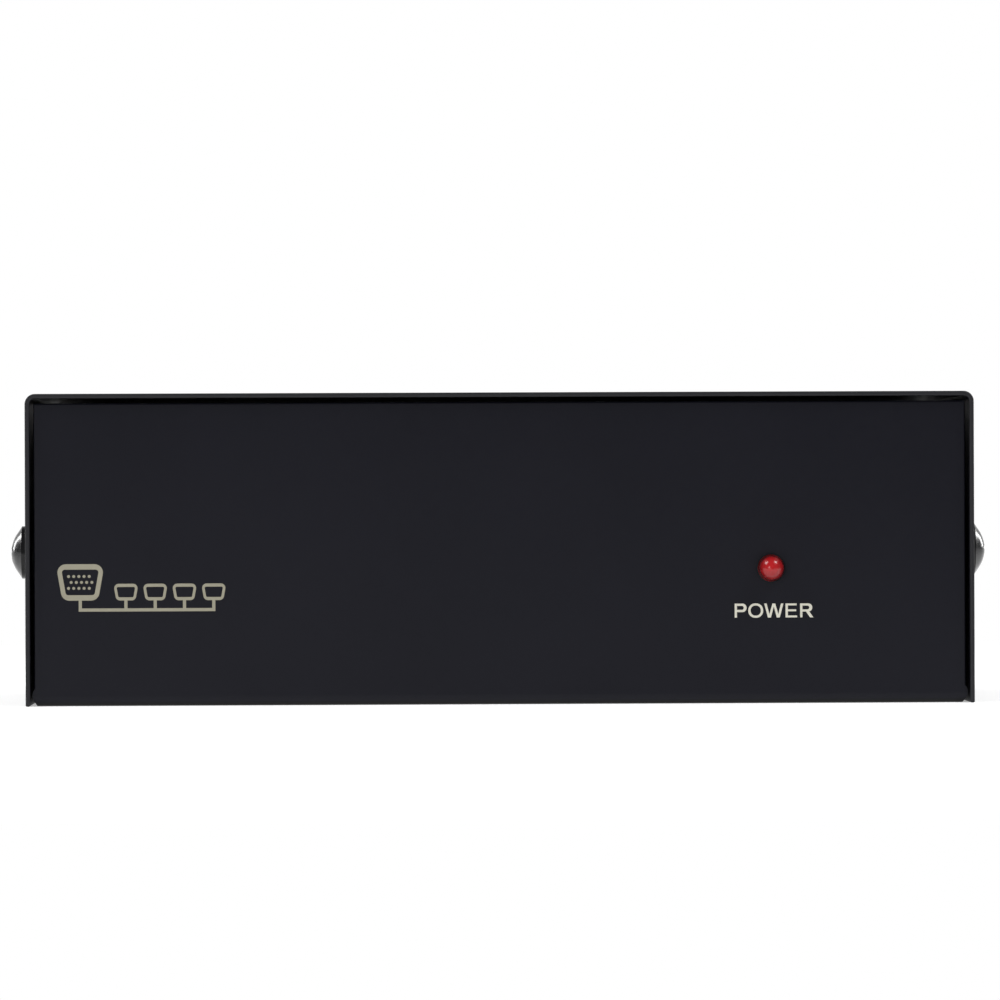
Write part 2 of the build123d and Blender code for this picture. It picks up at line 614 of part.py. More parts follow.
for name, x, z, sockets in PORTS:
    upper = z > LOWER_Z
    shell_edge = PANEL_IN + SHELL_REACH
    face_y = shell_edge - INSULATOR_SHY if sockets else PANEL_IN + INSULATOR_FLOOR

    with BuildPart() as shell:
        with BuildSketch(facing_rear(x, FLANGE_BACK, z)):
            RectangleRounded(FLANGE_WIDTH, FLANGE_HEIGHT, FLANGE_CORNER)
            with Locations((-JACKSCREW_SPACING / 2, 0), (JACKSCREW_SPACING / 2, 0)):
                Circle(STUD_RADIUS + STUD_CLEARANCE, mode=Mode.SUBTRACT)
        extrude(amount=FLANGE_THICK)
        with BuildSketch(facing_rear(x, PANEL_IN, z)):
            add(D_OUTSIDE[sockets])
        extrude(amount=SHELL_REACH)
        with BuildSketch(facing_rear(x, FLANGE_BACK, z)):
            add(D_INSIDE[sockets])
        extrude(amount=FLANGE_THICK + SHELL_REACH, mode=Mode.SUBTRACT)
        fillet(shell.faces().sort_by(Axis.Y)[-1].edges(), SHELL_EDGE_ROUND)
    shell.part.label = f"{name}_shell"
    export_step(shell.part, f"parts/{name}_shell.step")

    with BuildPart() as insulator:
        with BuildSketch(facing_rear(x, FLANGE_BACK, z)):
            add(D_PLUG[sockets])
        extrude(amount=face_y - FLANGE_BACK)
        with BuildSketch(facing_rear(x, face_y, z)):
            with Locations(contact_places(sockets)):
                Circle(CONTACT_RADIUS + CONTACT_CLEARANCE)
        extrude(amount=FLANGE_BACK - face_y, mode=Mode.SUBTRACT)
        entries = insulator.faces().sort_by(Axis.Y)[-1].edges().filter_by(GeomType.CIRCLE)
        if sockets:
            chamfer(entries.filter_by(lambda e: e.radius < CONTACT_PITCH / 2), ENTRY_CHAMFER)
    insulator.part.label = f"{name}_insulator"
    export_step(insulator.part, f"parts/{name}_insulator.step")

    with BuildPart() as contacts:
        # Barrels held in the insulators
        with BuildSketch(facing_rear(x, INSULATOR_REAR, z)):
            with Locations(contact_places(sockets)):
                Circle(CONTACT_RADIUS)
        barrel_end = face_y - CONTACT_SHY
        extrude(amount=barrel_end - INSULATOR_REAR)
        with BuildSketch(facing_rear(x, barrel_end, z)):
            with Locations(contact_places(sockets)):
                Circle(CONTACT_BORE if sockets else PIN_RADIUS)
        if sockets:
            extrude(amount=-CONTACT_BORE_DEPTH, mode=Mode.SUBTRACT)
        else:
            extrude(amount=shell_edge - PIN_SHY - barrel_end)
            fillet(contacts.edges().group_by(Axis.Y)[-1], PIN_TIP_ROUND)
        # Tails, back from the barrels and down through the board
        for row in range(ROW_COUNT):
            row_z = z + (1 - row) * ROW_PITCH
            side_planes = [Plane.YZ.offset(x - dx) for dx in row_places(row, sockets)]
            with BuildSketch(*side_planes):
                with BuildLine():
                    Polyline(
                        (INSULATOR_REAR + CONTACT_RADIUS, row_z),
                        (tail_y(row, upper), row_z),
                        (tail_y(row, upper), TAIL_FOOT),
                    )
                trace(line_width=TAIL_WIDTH)
            extrude(amount=TAIL_WIDTH / 2, both=True)
    contact_word = "contacts" if sockets else "pins"
    contacts.part.label = f"{name}_{contact_word}"
    export_step(contacts.part, f"parts/{name}_{contact_word}.step")

with BuildPart() as rear_insulators:
    # Blocks behind the flanges, which hold the contacts' barrels
    for _, x, z, sockets in PORTS:
        with BuildSketch(facing_rear(x, INSULATOR_REAR, z)):
            RectangleRounded(INSULATOR_BACK_WIDTH, INSULATOR_BACK_HEIGHT, FLANGE_CORNER)
            with Locations(contact_places(sockets)):
                Circle(CONTACT_RADIUS + CONTACT_CLEARANCE, mode=Mode.SUBTRACT)
        extrude(amount=INSULATOR_BACK)
rear_insulators.part.label = "rear_insulators"
export_step(rear_insulators.part, "parts/rear_insulators.step")

for name, x, heights in COLUMNS:
    sockets = len(heights) > 1
    body_top = heights[-1] + FLANGE_HEIGHT / 2
    body_rear = tail_y(0, sockets) - BODY_BEHIND_TAILS
    comb_top = BOARD_TOP + BODY_COMB_THICK
    bay_width = INSULATOR_BACK_WIDTH + 2 * BODY_BAY_CLEARANCE

    with BuildPart() as body:
        with BuildSketch(Plane.XY.offset(BOARD_TOP)):
            with Locations((x, (FLANGE_BACK + body_rear) / 2)):
                Rectangle(FLANGE_WIDTH, FLANGE_BACK - body_rear)
        extrude(amount=body_top - BOARD_TOP)
        # Bay for the insulators and the tails, open behind
        with BuildSketch(Plane.XY.offset(comb_top)):
            with Locations((x, (FLANGE_BACK + body_rear) / 2)):
                Rectangle(bay_width, FLANGE_BACK - body_rear)
        extrude(amount=body_top - BODY_ROOF - comb_top, mode=Mode.SUBTRACT)
        # Bar between a lower and an upper insulator
        for lower, higher in zip(heights, heights[1:]):
            bar_low = lower + INSULATOR_BACK_HEIGHT / 2 + BODY_BAY_CLEARANCE
            bar_high = higher - INSULATOR_BACK_HEIGHT / 2 - BODY_BAY_CLEARANCE
            with BuildSketch(Plane.XY.offset(bar_low)):
                with Locations((x, (FLANGE_BACK + INSULATOR_REAR) / 2)):
                    Rectangle(bay_width, INSULATOR_BACK)
            extrude(amount=bar_high - bar_low)
        # Room for the nuts on the flanges
        with BuildSketch(facing_rear(x, FLANGE_BACK, 0)):
            for z in heights:
                with Locations((-JACKSCREW_SPACING / 2, z), (JACKSCREW_SPACING / 2, z)):
                    Circle(NUT_RADIUS + NUT_CLEARANCE)
        extrude(amount=-NUT_LENGTH - NUT_CLEARANCE, mode=Mode.SUBTRACT)
        # Comb that spaces the tails
        with BuildSketch(Plane.XY.offset(BOARD_TOP)):
            for z in heights:
                with Locations(tail_places(x, z, sockets)):
                    Rectangle(TAIL_WIDTH + 2 * HOLE_CLEARANCE, TAIL_WIDTH + 2 * HOLE_CLEARANCE)
        extrude(amount=BODY_COMB_THICK, mode=Mode.SUBTRACT)
    body.part.label = name
    export_step(body.part, f"parts/{name}.step")

with BuildPart() as flange_nuts:
    with BuildSketch(facing_rear(0, FLANGE_BACK, 0)):
        with Locations([(-x, z) for x, z in jackscrew_places()]):
            Circle(NUT_RADIUS)
            Circle(STUD_RADIUS + THREAD_CLEARANCE, mode=Mode.SUBTRACT)
    extrude(amount=-NUT_LENGTH)
flange_nuts.part.label = "flange_nuts"
export_step(flange_nuts.part, "parts/flange_nuts.step")

with BuildPart() as jackscrews:
    with BuildSketch(facing_rear(0, PANEL_OUT, 0)):
        with Locations([(-x, z) for x, z in jackscrew_places()]):
            RegularPolygon(JACKSCREW_HEX / 2, 6, major_radius=False)
    extrude(amount=JACKSCREW_LENGTH)
    chamfer(jackscrews.edges().group_by(Axis.Y)[-1], JACKSCREW_CHAMFER)
    with BuildSketch(facing_rear(0, PANEL_OUT + JACKSCREW_LENGTH, 0)):
        with Locations([(-x, z) for x, z in jackscrew_places()]):
            Circle(JACKSCREW_BORE_RADIUS)
    extrude(amount=-JACKSCREW_BORE_DEPTH, mode=Mode.SUBTRACT)
    with BuildSketch(facing_rear(0, PANEL_OUT, 0)):
        with Locations([(-x, z) for x, z in jackscrew_places()]):
            Circle(STUD_RADIUS)
    extrude(amount=-STUD_LENGTH)
jackscrews.part.label = "jackscrews"
export_step(jackscrews.part, "parts/jackscrews.step")

with BuildPart() as board_locks:
    with BuildSketch(Plane.XY.offset(TAIL_FOOT)):
        with Locations(lock_places()):
            Rectangle(LOCK_THICK, LOCK_WIDTH)
    extrude(amount=BOARD_TOP + LOCK_ABOVE_BOARD - TAIL_FOOT)
board_locks.part.label = "board_locks"
export_step(board_locks.part, "parts/board_locks.step")


# Power inlet

with BuildPart() as inlet_housing:
    with BuildSketch(Plane.XY.offset(BOARD_TOP)):
        with Locations((INLET_X, PANEL_IN)):
            Rectangle(INLET_WIDTH, INLET_DEPTH, align=(Align.CENTER, Align.MAX))
    extrude(amount=INLET_HEIGHT)
    with BuildSketch(facing_rear(INLET_X, PANEL_IN, INLET_Z)):
        Circle(INLET_NOSE_RADIUS)
    extrude(amount=NOSE_FACE - PANEL_IN)
    with BuildSketch(facing_rear(INLET_X, NOSE_FACE, INLET_Z)):
        Circle(INLET_BORE_RADIUS)
    extrude(amount=-INLET_BORE_DEPTH, mode=Mode.SUBTRACT)
    mouth = inlet_housing.edges().group_by(Axis.Y)[-1].sort_by(SortBy.RADIUS)[0]
    chamfer(mouth, INLET_MOUTH_CHAMFER)
    with BuildSketch(facing_rear(INLET_X, BORE_FLOOR, INLET_Z)):
        Circle(INLET_SHANK_RADIUS + INLET_PIN_CLEARANCE)
    extrude(amount=INLET_REAR - BORE_FLOOR, mode=Mode.SUBTRACT)
    # Slot for the leaf, open to the bore and to the board
    with BuildSketch(Plane.XY.offset(BOARD_TOP)):
        with Locations((INLET_X, SLOT_FRONT)):
            Rectangle(2 * SLOT_HALF, SLOT_FRONT - BORE_FLOOR, align=(Align.CENTER, Align.MAX))
    extrude(amount=INLET_AXIS_HEIGHT, mode=Mode.SUBTRACT)
    with BuildSketch(Plane.XY.offset(BOARD_TOP)):
        with Locations((INLET_X, SLOT_FRONT)):
            Rectangle(2 * SLOT_HALF, SLOT_FRONT - SLOT_REAR, align=(Align.CENTER, Align.MAX))
    extrude(amount=SLOT_LOW_HEIGHT, mode=Mode.SUBTRACT)
inlet_housing.part.label = "inlet_housing"
export_step(inlet_housing.part, "parts/inlet_housing.step")

with BuildPart() as inlet_pin:
    with BuildSketch(facing_rear(INLET_X, INLET_LUG_Y, INLET_Z)):
        Circle(INLET_SHANK_RADIUS)
    extrude(amount=BORE_FLOOR - INLET_LUG_Y)
    with BuildSketch(facing_rear(INLET_X, BORE_FLOOR, INLET_Z)):
        Circle(INLET_PIN_RADIUS)
    extrude(amount=NOSE_FACE - INLET_PIN_SHY - BORE_FLOOR)
    fillet(inlet_pin.edges().group_by(Axis.Y)[-1], INLET_PIN_ROUND)
    with BuildSketch(Plane.XY.offset(TAIL_FOOT)):
        with Locations((INLET_X, INLET_LUG_Y)):
            Rectangle(INLET_STRIP_WIDTH, INLET_LUG_THICK)
    extrude(amount=INLET_Z + INLET_STRIP_WIDTH / 2 - TAIL_FOOT)
inlet_pin.part.label = "inlet_pin"
export_step(inlet_pin.part, "parts/inlet_pin.step")

with BuildPart() as inlet_leaf:
    with BuildSketch(Plane.YZ.offset(INLET_X)):
        with BuildLine():
            Polyline(*LEAF_POINTS)
        trace(line_width=INLET_STRIP_THICK)
    extrude(amount=INLET_STRIP_WIDTH / 2, both=True)
inlet_leaf.part.label = "inlet_leaf"
export_step(inlet_leaf.part, "parts/inlet_leaf.step")

with BuildPart() as inlet_leaf_terminal:
    with BuildSketch(Plane.XY.offset(TAIL_FOOT)):
        with Locations((INLET_X, TERMINAL_Y)):
            Rectangle(INLET_STRIP_WIDTH, INLET_STRIP_THICK)
    extrude(amount=LEAF_POINTS[0][1] + INLET_STRIP_THICK / 2 - TAIL_FOOT)
inlet_leaf_terminal.part.label = "inlet_leaf_terminal"
export_step(inlet_leaf_terminal.part, "parts/inlet_leaf_terminal.step")

with BuildPart() as inlet_switch_contact:
    with BuildSketch(Plane.YZ.offset(INLET_X)):
        with BuildLine():
            Polyline((LEAF_POINTS[2][0], SWITCH_Z), (SWITCH_Y, SWITCH_Z), (SWITCH_Y, TAIL_FOOT))
        trace(line_width=INLET_STRIP_THICK)
    extrude(amount=INLET_STRIP_WIDTH / 2, both=True)
inlet_switch_contact.part.label = "inlet_switch_contact"
export_step(inlet_switch_contact.part, "parts/inlet_switch_contact.step")


# Lamp

LAMP_LEADS_X = spaced(LAMP_X, 2, LAMP_LEAD_SPACING)

with BuildPart() as lamp_lens:
    lamp_plane = Plane(origin=(LAMP_X, 0, LAMP_HEIGHT), x_dir=(0, 0, 1), z_dir=(1, 0, 0))
    with BuildSketch(lamp_plane):
        with BuildLine():
            dome_foot = (LAMP_RADIUS, PANEL_OUT + LAMP_PROUD - LAMP_RADIUS)
            dome_top = (0, PANEL_OUT + LAMP_PROUD)
            Polyline(
                dome_top,
                (0, -LAMP_BASE),
                (LAMP_FLANGE_RADIUS, -LAMP_BASE),
                (LAMP_FLANGE_RADIUS, PANEL_IN),
                (LAMP_RADIUS, PANEL_IN),
                dome_foot,
            )
            RadiusArc(dome_foot, dome_top, -LAMP_RADIUS)
        make_face()
    revolve(axis=Axis((LAMP_X, 0, LAMP_HEIGHT), (0, 1, 0)))
lamp_lens.part.label = "lamp_lens"
export_step(lamp_lens.part, "parts/lamp_lens.step")

with BuildPart() as lamp_leads:
    with BuildSketch(*[Plane.YZ.offset(x) for x in LAMP_LEADS_X]):
        with BuildLine():
            Polyline((LAMP_BASE, LAMP_HEIGHT), (LAMP_LEAD_Y, LAMP_HEIGHT), (LAMP_LEAD_Y, TAIL_FOOT))
        trace(line_width=LAMP_LEAD_WIDTH)
    extrude(amount=LAMP_LEAD_WIDTH / 2, both=True)
lamp_leads.part.label = "lamp_leads"
export_step(lamp_leads.part, "parts/lamp_leads.step")

with BuildPart() as lamp_holder:
    with BuildSketch(Plane.XY.offset(BOARD_TOP)):
        with Locations((LAMP_X, LAMP_BASE)):
            Rectangle(LAMP_HOLDER_WIDTH, LAMP_HOLDER_DEPTH, align=(Align.CENTER, Align.MIN))
    extrude(amount=LAMP_HEIGHT + LAMP_HOLDER_ABOVE - BOARD_TOP)
    with BuildSketch(Plane.XZ.offset(-LAMP_BASE)):
        with Locations([(x, LAMP_HEIGHT) for x in LAMP_LEADS_X]):
            lead_hole = LAMP_LEAD_WIDTH + 2 * LAMP_LEAD_CLEARANCE
            Rectangle(lead_hole, lead_hole)
    extrude(amount=-LAMP_HOLDER_DEPTH, mode=Mode.SUBTRACT)
lamp_holder.part.label = "lamp_holder"
export_step(lamp_holder.part, "parts/lamp_holder.step")


# Chips

def chip_body(x, y, length):
    """Moulded body of a small-outline chip, with the bevel and the dimple that mark its first lead."""
    body_top = BOARD_TOP + CHIP_LIFT + CHIP_THICK
    with BuildPart() as chip:
        with BuildSketch(Plane.XY.offset(BOARD_TOP + CHIP_LIFT)):
            with Locations((x, y)):
                Rectangle(length, CHIP_WIDTH)
        extrude(amount=CHIP_THICK)
        chamfer(chip.edges().group_by(Axis.Z)[-1].sort_by(Axis.Y)[0], CHIP_BEVEL)
        with BuildSketch(Plane.XY.offset(body_top)):
            with Locations((x - length / 2 + CHIP_MARK_INSET, y - CHIP_WIDTH / 2 + CHIP_MARK_INSET)):
                Circle(CHIP_MARK_RADIUS)
        extrude(amount=-CHIP_MARK_DEPTH, mode=Mode.SUBTRACT)
    return chip.part


def chip_leads(middles, y, leads_a_side):
    """Bent leads of small-outline chips that stand in a row."""
    lead_planes = [
        Plane.YZ.offset(lead_x)
        for x in middles
        for lead_x in spaced(x, leads_a_side, CHIP_LEAD_PITCH)
    ]
    shoulder_z = BOARD_TOP + CHIP_LIFT + CHIP_THICK / 2
    foot_z = BOARD_TOP + CHIP_LEAD_THICK / 2
    with BuildPart() as leads:
        for side in (-1, 1):
            with BuildSketch(*lead_planes):
                with BuildLine():
                    Polyline(
                        (y + side * CHIP_WIDTH / 2, shoulder_z),
                        (y + side * (CHIP_WIDTH / 2 + CHIP_LEAD_SHOULDER), shoulder_z),
                        (y + side * (CHIP_LEAD_SPAN / 2 - CHIP_LEAD_FOOT), foot_z),
                        (y + side * CHIP_LEAD_SPAN / 2, foot_z),
                    )
                trace(line_width=CHIP_LEAD_THICK)
            extrude(amount=CHIP_LEAD_WIDTH / 2, both=True)
    return leads.part


for number, x in enumerate(AMP_X, start=1):
    video_amp = chip_body(x, AMP_Y, AMP_LENGTH)
    video_amp.label = f"video_amp_{number}"
    export_step(video_amp, f"parts/video_amp_{number}.step")

amp_leads = chip_leads(AMP_X, AMP_Y, AMP_LEAD_COUNT)
amp_leads.label = "amp_leads"
export_step(amp_leads, "parts/amp_leads.step")

sync_buffer = chip_body(INPUT_X, AMP_Y, BUFFER_LENGTH)
sync_buffer.label = "sync_buffer"
export_step(sync_buffer, "parts/sync_buffer.step")

sync_buffer_leads = chip_leads([INPUT_X], AMP_Y, BUFFER_LEAD_COUNT)
sync_buffer_leads.label = "sync_buffer_leads"
export_step(sync_buffer_leads, "parts/sync_buffer_leads.step")


# Other components

with BuildPart() as regulator_body:
    with BuildSketch(Plane.XY.offset(BOARD_TOP + REGULATOR_TAB_THICK)):
        with Locations((REGULATOR_X, AMP_Y)):
            Rectangle(REGULATOR_SIZE, REGULATOR_SIZE)
    extrude(amount=REGULATOR_THICK - REGULATOR_TAB_THICK)
    chamfer(regulator_body.edges().group_by(Axis.Z)[-1], CHIP_BEVEL)
regulator_body.part.label = "regulator_body"
export_step(regulator_body.part, "parts/regulator_body.step")

with BuildPart() as regulator_tab:
    with BuildSketch(Plane.XY.offset(BOARD_TOP)):
        with Locations((REGULATOR_X, AMP_Y + REGULATOR_SIZE / 2 + REGULATOR_TAB_REACH)):
            Rectangle(
                REGULATOR_TAB_WIDTH,
                REGULATOR_SIZE + REGULATOR_TAB_REACH,
                align=(Align.CENTER, Align.MAX),
            )
    extrude(amount=REGULATOR_TAB_THICK)
    # Legs
    leg_root = AMP_Y - REGULATOR_SIZE / 2
    leg_end = leg_root - REGULATOR_LEG_REACH
    legs_x = spaced(REGULATOR_X, 2, REGULATOR_LEG_SPACING)
    with BuildSketch(*[Plane.YZ.offset(x) for x in legs_x]):
        with BuildLine():
            Polyline(
                (leg_root, BOARD_TOP + REGULATOR_LEG_HEIGHT),
                (leg_root - REGULATOR_LEG_SHOULDER, BOARD_TOP + REGULATOR_LEG_HEIGHT),
                (leg_end + REGULATOR_LEG_FOOT, BOARD_TOP + REGULATOR_TAB_THICK / 2),
                (leg_end, BOARD_TOP + REGULATOR_TAB_THICK / 2),
            )
        trace(line_width=REGULATOR_TAB_THICK)
    extrude(amount=REGULATOR_LEG_WIDTH / 2, both=True)
regulator_tab.part.label = "regulator_tab"
export_step(regulator_tab.part, "parts/regulator_tab.step")

CAPACITOR_X = spaced(INPUT_X, CAPACITOR_COUNT, CAPACITOR_PITCH)
CAPACITOR_PLACES = [(x, CAPACITOR_Y) for x in CAPACITOR_X]
CAPACITOR_LEAD_PLACES = [
    (lead_x, CAPACITOR_Y) for x in CAPACITOR_X for lead_x in spaced(x, 2, CAPACITOR_LEAD_SPACING)
]

with BuildPart() as capacitor_cans:
    with BuildSketch(Plane.XY.offset(BOARD_TOP)):
        with Locations(CAPACITOR_PLACES):
            Circle(CAPACITOR_RADIUS)
    extrude(amount=CAPACITOR_HEIGHT)
    fillet(capacitor_cans.edges().group_by(Axis.Z)[-1], CAPACITOR_RIM_ROUND)
    with BuildSketch(Plane.XY.offset(BOARD_TOP + CAPACITOR_HEIGHT)):
        with Locations(CAPACITOR_PLACES):
            Rectangle(CAPACITOR_RADIUS, CAPACITOR_VENT_WIDTH)
            Rectangle(CAPACITOR_VENT_WIDTH, CAPACITOR_RADIUS)
    extrude(amount=-CAPACITOR_VENT_DEPTH, mode=Mode.SUBTRACT)
    with BuildSketch(Plane.XY.offset(BOARD_TOP)):
        with Locations(CAPACITOR_LEAD_PLACES):
            Circle(CAPACITOR_LEAD_RADIUS)
    extrude(amount=TAIL_FOOT - BOARD_TOP)
capacitor_cans.part.label = "capacitor_cans"
export_step(capacitor_cans.part, "parts/capacitor_cans.step")

with BuildPart() as capacitor_sleeves:
    sleeve_inner = CAPACITOR_RADIUS + CAPACITOR_SLEEVE_GAP
    with BuildSketch(Plane.XY.offset(BOARD_TOP + CAPACITOR_SLEEVE_LIFT)):
        with Locations(CAPACITOR_PLACES):
            Circle(sleeve_inner + CAPACITOR_SLEEVE)
            Circle(sleeve_inner, mode=Mode.SUBTRACT)
    extrude(amount=CAPACITOR_HEIGHT - CAPACITOR_SLEEVE_LIFT - CAPACITOR_RIM_ROUND)
capacitor_sleeves.part.label = "capacitor_sleeves"
export_step(capacitor_sleeves.part, "parts/capacitor_sleeves.step")

with BuildPart() as protection_diode:
    with BuildSketch(Plane.XY.offset(BOARD_TOP)):
        with Locations((REGULATOR_X, DIODE_Y)):
            Rectangle(DIODE_LENGTH, DIODE_WIDTH)
    extrude(amount=DIODE_THICK)
    chamfer(protection_diode.edges().group_by(Axis.Z)[-1], DIODE_BEVEL)
protection_diode.part.label = "protection_diode"
export_step(protection_diode.part, "parts/protection_diode.step")

with BuildPart() as chip_resistors:
    with BuildSketch(Plane.XY.offset(BOARD_TOP)):
        for x in AMP_X:
            chips_x = spaced(x, RESISTOR_COUNT, CHIP_PART_PITCH)
            with Locations([(chip_x, RESISTOR_Y) for chip_x in chips_x]):
                Rectangle(CHIP_PART_WIDTH, CHIP_PART_LENGTH)
    extrude(amount=RESISTOR_THICK)
chip_resistors.part.label = "chip_resistors"
export_step(chip_resistors.part, "parts/chip_resistors.step")

with BuildPart() as chip_capacitors:
    with BuildSketch(Plane.XY.offset(BOARD_TOP)):
        for x in AMP_X:
            chips_x = spaced(x, CHIP_CAPACITOR_COUNT, CHIP_PART_PITCH)
            with Locations([(chip_x, CHIP_CAPACITOR_Y) for chip_x in chips_x]):
                Rectangle(CHIP_PART_WIDTH, CHIP_PART_LENGTH)
    extrude(amount=CHIP_CAPACITOR_THICK)
chip_capacitors.part.label = "chip_capacitors"
export_step(chip_capacitors.part, "parts/chip_capacitors.step")

with BuildPart() as circuit_board:
    board_middle = (BOARD_FRONT + BOARD_REAR) / 2
    with BuildSketch(Plane.XY.offset(BOARD_BOTTOM)):
        with Locations((0, board_middle)):
            Rectangle(2 * BOARD_HALF, BOARD_REAR - BOARD_FRONT)
        with Locations(STANDOFF_PLACES):
            Circle(SCREW_HOLE_RADIUS, mode=Mode.SUBTRACT)
        # Holes for the tails, of the ports first
        for _, x, z, sockets in PORTS:
            with Locations(tail_places(x, z, sockets)):
                Circle(TAIL_HOLE_RADIUS, mode=Mode.SUBTRACT)
        with Locations([(x, LAMP_LEAD_Y) for x in LAMP_LEADS_X]):
            Circle(LAMP_HOLE_RADIUS, mode=Mode.SUBTRACT)
        with Locations(CAPACITOR_LEAD_PLACES):
            Circle(CAPACITOR_LEAD_RADIUS + HOLE_CLEARANCE, mode=Mode.SUBTRACT)
        with Locations(lock_places()):
            Rectangle(
                LOCK_THICK + 2 * HOLE_CLEARANCE, LOCK_WIDTH + 2 * HOLE_CLEARANCE, mode=Mode.SUBTRACT
            )
        strips = [
            (TERMINAL_Y, INLET_STRIP_THICK),
            (SWITCH_Y, INLET_STRIP_THICK),
            (INLET_LUG_Y, INLET_LUG_THICK),
        ]
        for strip_y, thick in strips:
            with Locations((INLET_X, strip_y)):
                Rectangle(
                    INLET_STRIP_WIDTH + 2 * HOLE_CLEARANCE,
                    thick + 2 * HOLE_CLEARANCE,
                    mode=Mode.SUBTRACT,
                )
    extrude(amount=BOARD_THICK)
circuit_board.part.label = "circuit_board"
export_step(circuit_board.part, "parts/circuit_board.step")
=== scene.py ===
import json
import math

import bmesh
import bpy
from mathutils import Matrix, Vector


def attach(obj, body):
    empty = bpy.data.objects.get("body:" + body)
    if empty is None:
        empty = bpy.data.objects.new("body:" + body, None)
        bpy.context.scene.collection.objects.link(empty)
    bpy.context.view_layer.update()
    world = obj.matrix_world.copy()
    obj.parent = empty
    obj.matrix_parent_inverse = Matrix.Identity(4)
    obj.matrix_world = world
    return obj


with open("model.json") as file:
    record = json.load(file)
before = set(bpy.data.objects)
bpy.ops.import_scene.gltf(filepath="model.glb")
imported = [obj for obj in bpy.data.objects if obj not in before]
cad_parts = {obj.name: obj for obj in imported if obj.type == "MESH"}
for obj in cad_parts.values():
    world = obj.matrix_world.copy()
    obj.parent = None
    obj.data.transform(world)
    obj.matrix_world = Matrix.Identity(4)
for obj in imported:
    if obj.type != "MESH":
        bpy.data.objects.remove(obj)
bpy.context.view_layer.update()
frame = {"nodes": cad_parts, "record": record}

# A four-way video splitter in its studio, seen square on from the front. Metres, +Z up. The front
# panel faces -Y and the ports face +Y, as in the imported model.

nodes = frame["nodes"]

# Places on the object
PANEL_FACE = 0.0332  # both panels, front and rear, from the middle
COVER_EDGE = 0.0338  # where the cover's rounded cut edges begin, from the middle
EDGE_BLEND = 0.0001
FILM = 0.00002  # thickness of the printed ink
WELD = 1e-7  # points of a mark that lie closer than this are joined
MM = 0.001

# Camera
CAMERA_PLACE = (-0.019, -0.876, 0.02693)
CAMERA_YAW = math.radians(-1.29)
CAMERA_ROLL = math.radians(-0.22)
CAMERA_NEAR = 0.01
LENS = 230.37
SENSOR = 36.0

# Colours, low and high tint of each mottled finish
PAINT = (0.0038, 0.0040, 0.0086), (0.0048, 0.0050, 0.0100)
# painted highlight on the cover's rounded cut edges
LIT_EDGE_PAINT = (0.021, 0.021, 0.024)
SCREW_BLACK = (0.010, 0.010, 0.011), (0.015, 0.015, 0.016)
NICKEL = (0.46, 0.44, 0.40), (0.56, 0.54, 0.49)
ZINC = (0.50, 0.51, 0.54), (0.60, 0.61, 0.63)
TIN = (0.60, 0.60, 0.58), (0.70, 0.70, 0.68)
GOLD = (0.80, 0.58, 0.22), (0.90, 0.68, 0.30)
BLUE = (0.012, 0.055, 0.34), (0.016, 0.070, 0.40)
BLACK_PLASTIC = (0.014, 0.014, 0.015), (0.020, 0.020, 0.021)
CHIP_EPOXY = (0.016, 0.016, 0.017), (0.024, 0.024, 0.025)
LAMP_RED = (0.43, 0.010, 0.013), (0.48, 0.013, 0.017)
DEEP_RED = (0.06, 0.002, 0.003)
SOLDER_MASK = (0.006, 0.085, 0.030), (0.012, 0.140, 0.050)
ALUMINIUM = (0.72, 0.72, 0.74), (0.80, 0.80, 0.82)
SLEEVE = (0.012, 0.014, 0.035), (0.018, 0.020, 0.048)
GLAZE = (0.018, 0.018, 0.020), (0.034, 0.034, 0.036)
CERAMIC = (0.30, 0.21, 0.12), (0.40, 0.29, 0.17)
INK = (0.34, 0.32, 0.24)
BRIGHT_INK = (0.72, 0.70, 0.60)
INK_MOTTLE = 0.94  # low tint of an ink as a share of its high one
FLOOR_WHITE = (0.80, 0.80, 0.80), (0.82, 0.82, 0.82)
WHITE = (1, 1, 1, 1)
# painted shade in hollows and beside ledges
HOLLOW_SHADE_TINT = 0.06  # share of a finish's low tint that is left in its deepest hollows
NOISE_LOW, NOISE_HIGH = 0.3, 0.7  # most of a noise texture's values lie between them
LENS_RIM = 0.5  # a larger value makes the lens's dark rim wider


# Shader nodes


def node_set(material):
    """Clears a material's nodes and gives it a Principled shader; returns the tree and the shader."""
    material.use_nodes = True
    tree = material.node_tree
    tree.nodes.clear()
    output = tree.nodes.new("ShaderNodeOutputMaterial")
    shader = tree.nodes.new("ShaderNodeBsdfPrincipled")
    tree.links.new(shader.outputs["BSDF"], output.inputs["Surface"])
    return tree, shader


def noise(tree, scale, detail=2.0, stretch=(1, 1, 1)):
    """Noise in the object's own metres, stretched along its axes."""
    coordinates = tree.nodes.new("ShaderNodeTexCoord")
    mapping = tree.nodes.new("ShaderNodeMapping")
    mapping.inputs["Scale"].default_value = stretch
    texture = tree.nodes.new("ShaderNodeTexNoise")
    texture.inputs["Scale"].default_value = scale
    texture.inputs["Detail"].default_value = detail
    tree.links.new(coordinates.outputs["Object"], mapping.inputs["Vector"])
    tree.links.new(mapping.outputs["Vector"], texture.inputs["Vector"])
    return texture.outputs["Fac"]


def ramp(tree, source, start, end, low=0.0, high=1.0, smooth=False):
    """Maps a value, as it goes from start to end, to the range from low to high."""
    mapped = tree.nodes.new("ShaderNodeMapRange")
    if smooth:
        mapped.interpolation_type = "SMOOTHSTEP"
    mapped.inputs["From Min"].default_value = start
    mapped.inputs["From Max"].default_value = end
    mapped.inputs["To Min"].default_value = low
    mapped.inputs["To Max"].default_value = high
    tree.links.new(source, mapped.inputs["Value"])
    return mapped.outputs["Result"]


def spread(tree, source, low=0.0, high=1.0):
    """Maps a noise, which keeps near its middle, to a range of values."""
    return ramp(tree, source, NOISE_LOW, NOISE_HIGH, low, high)


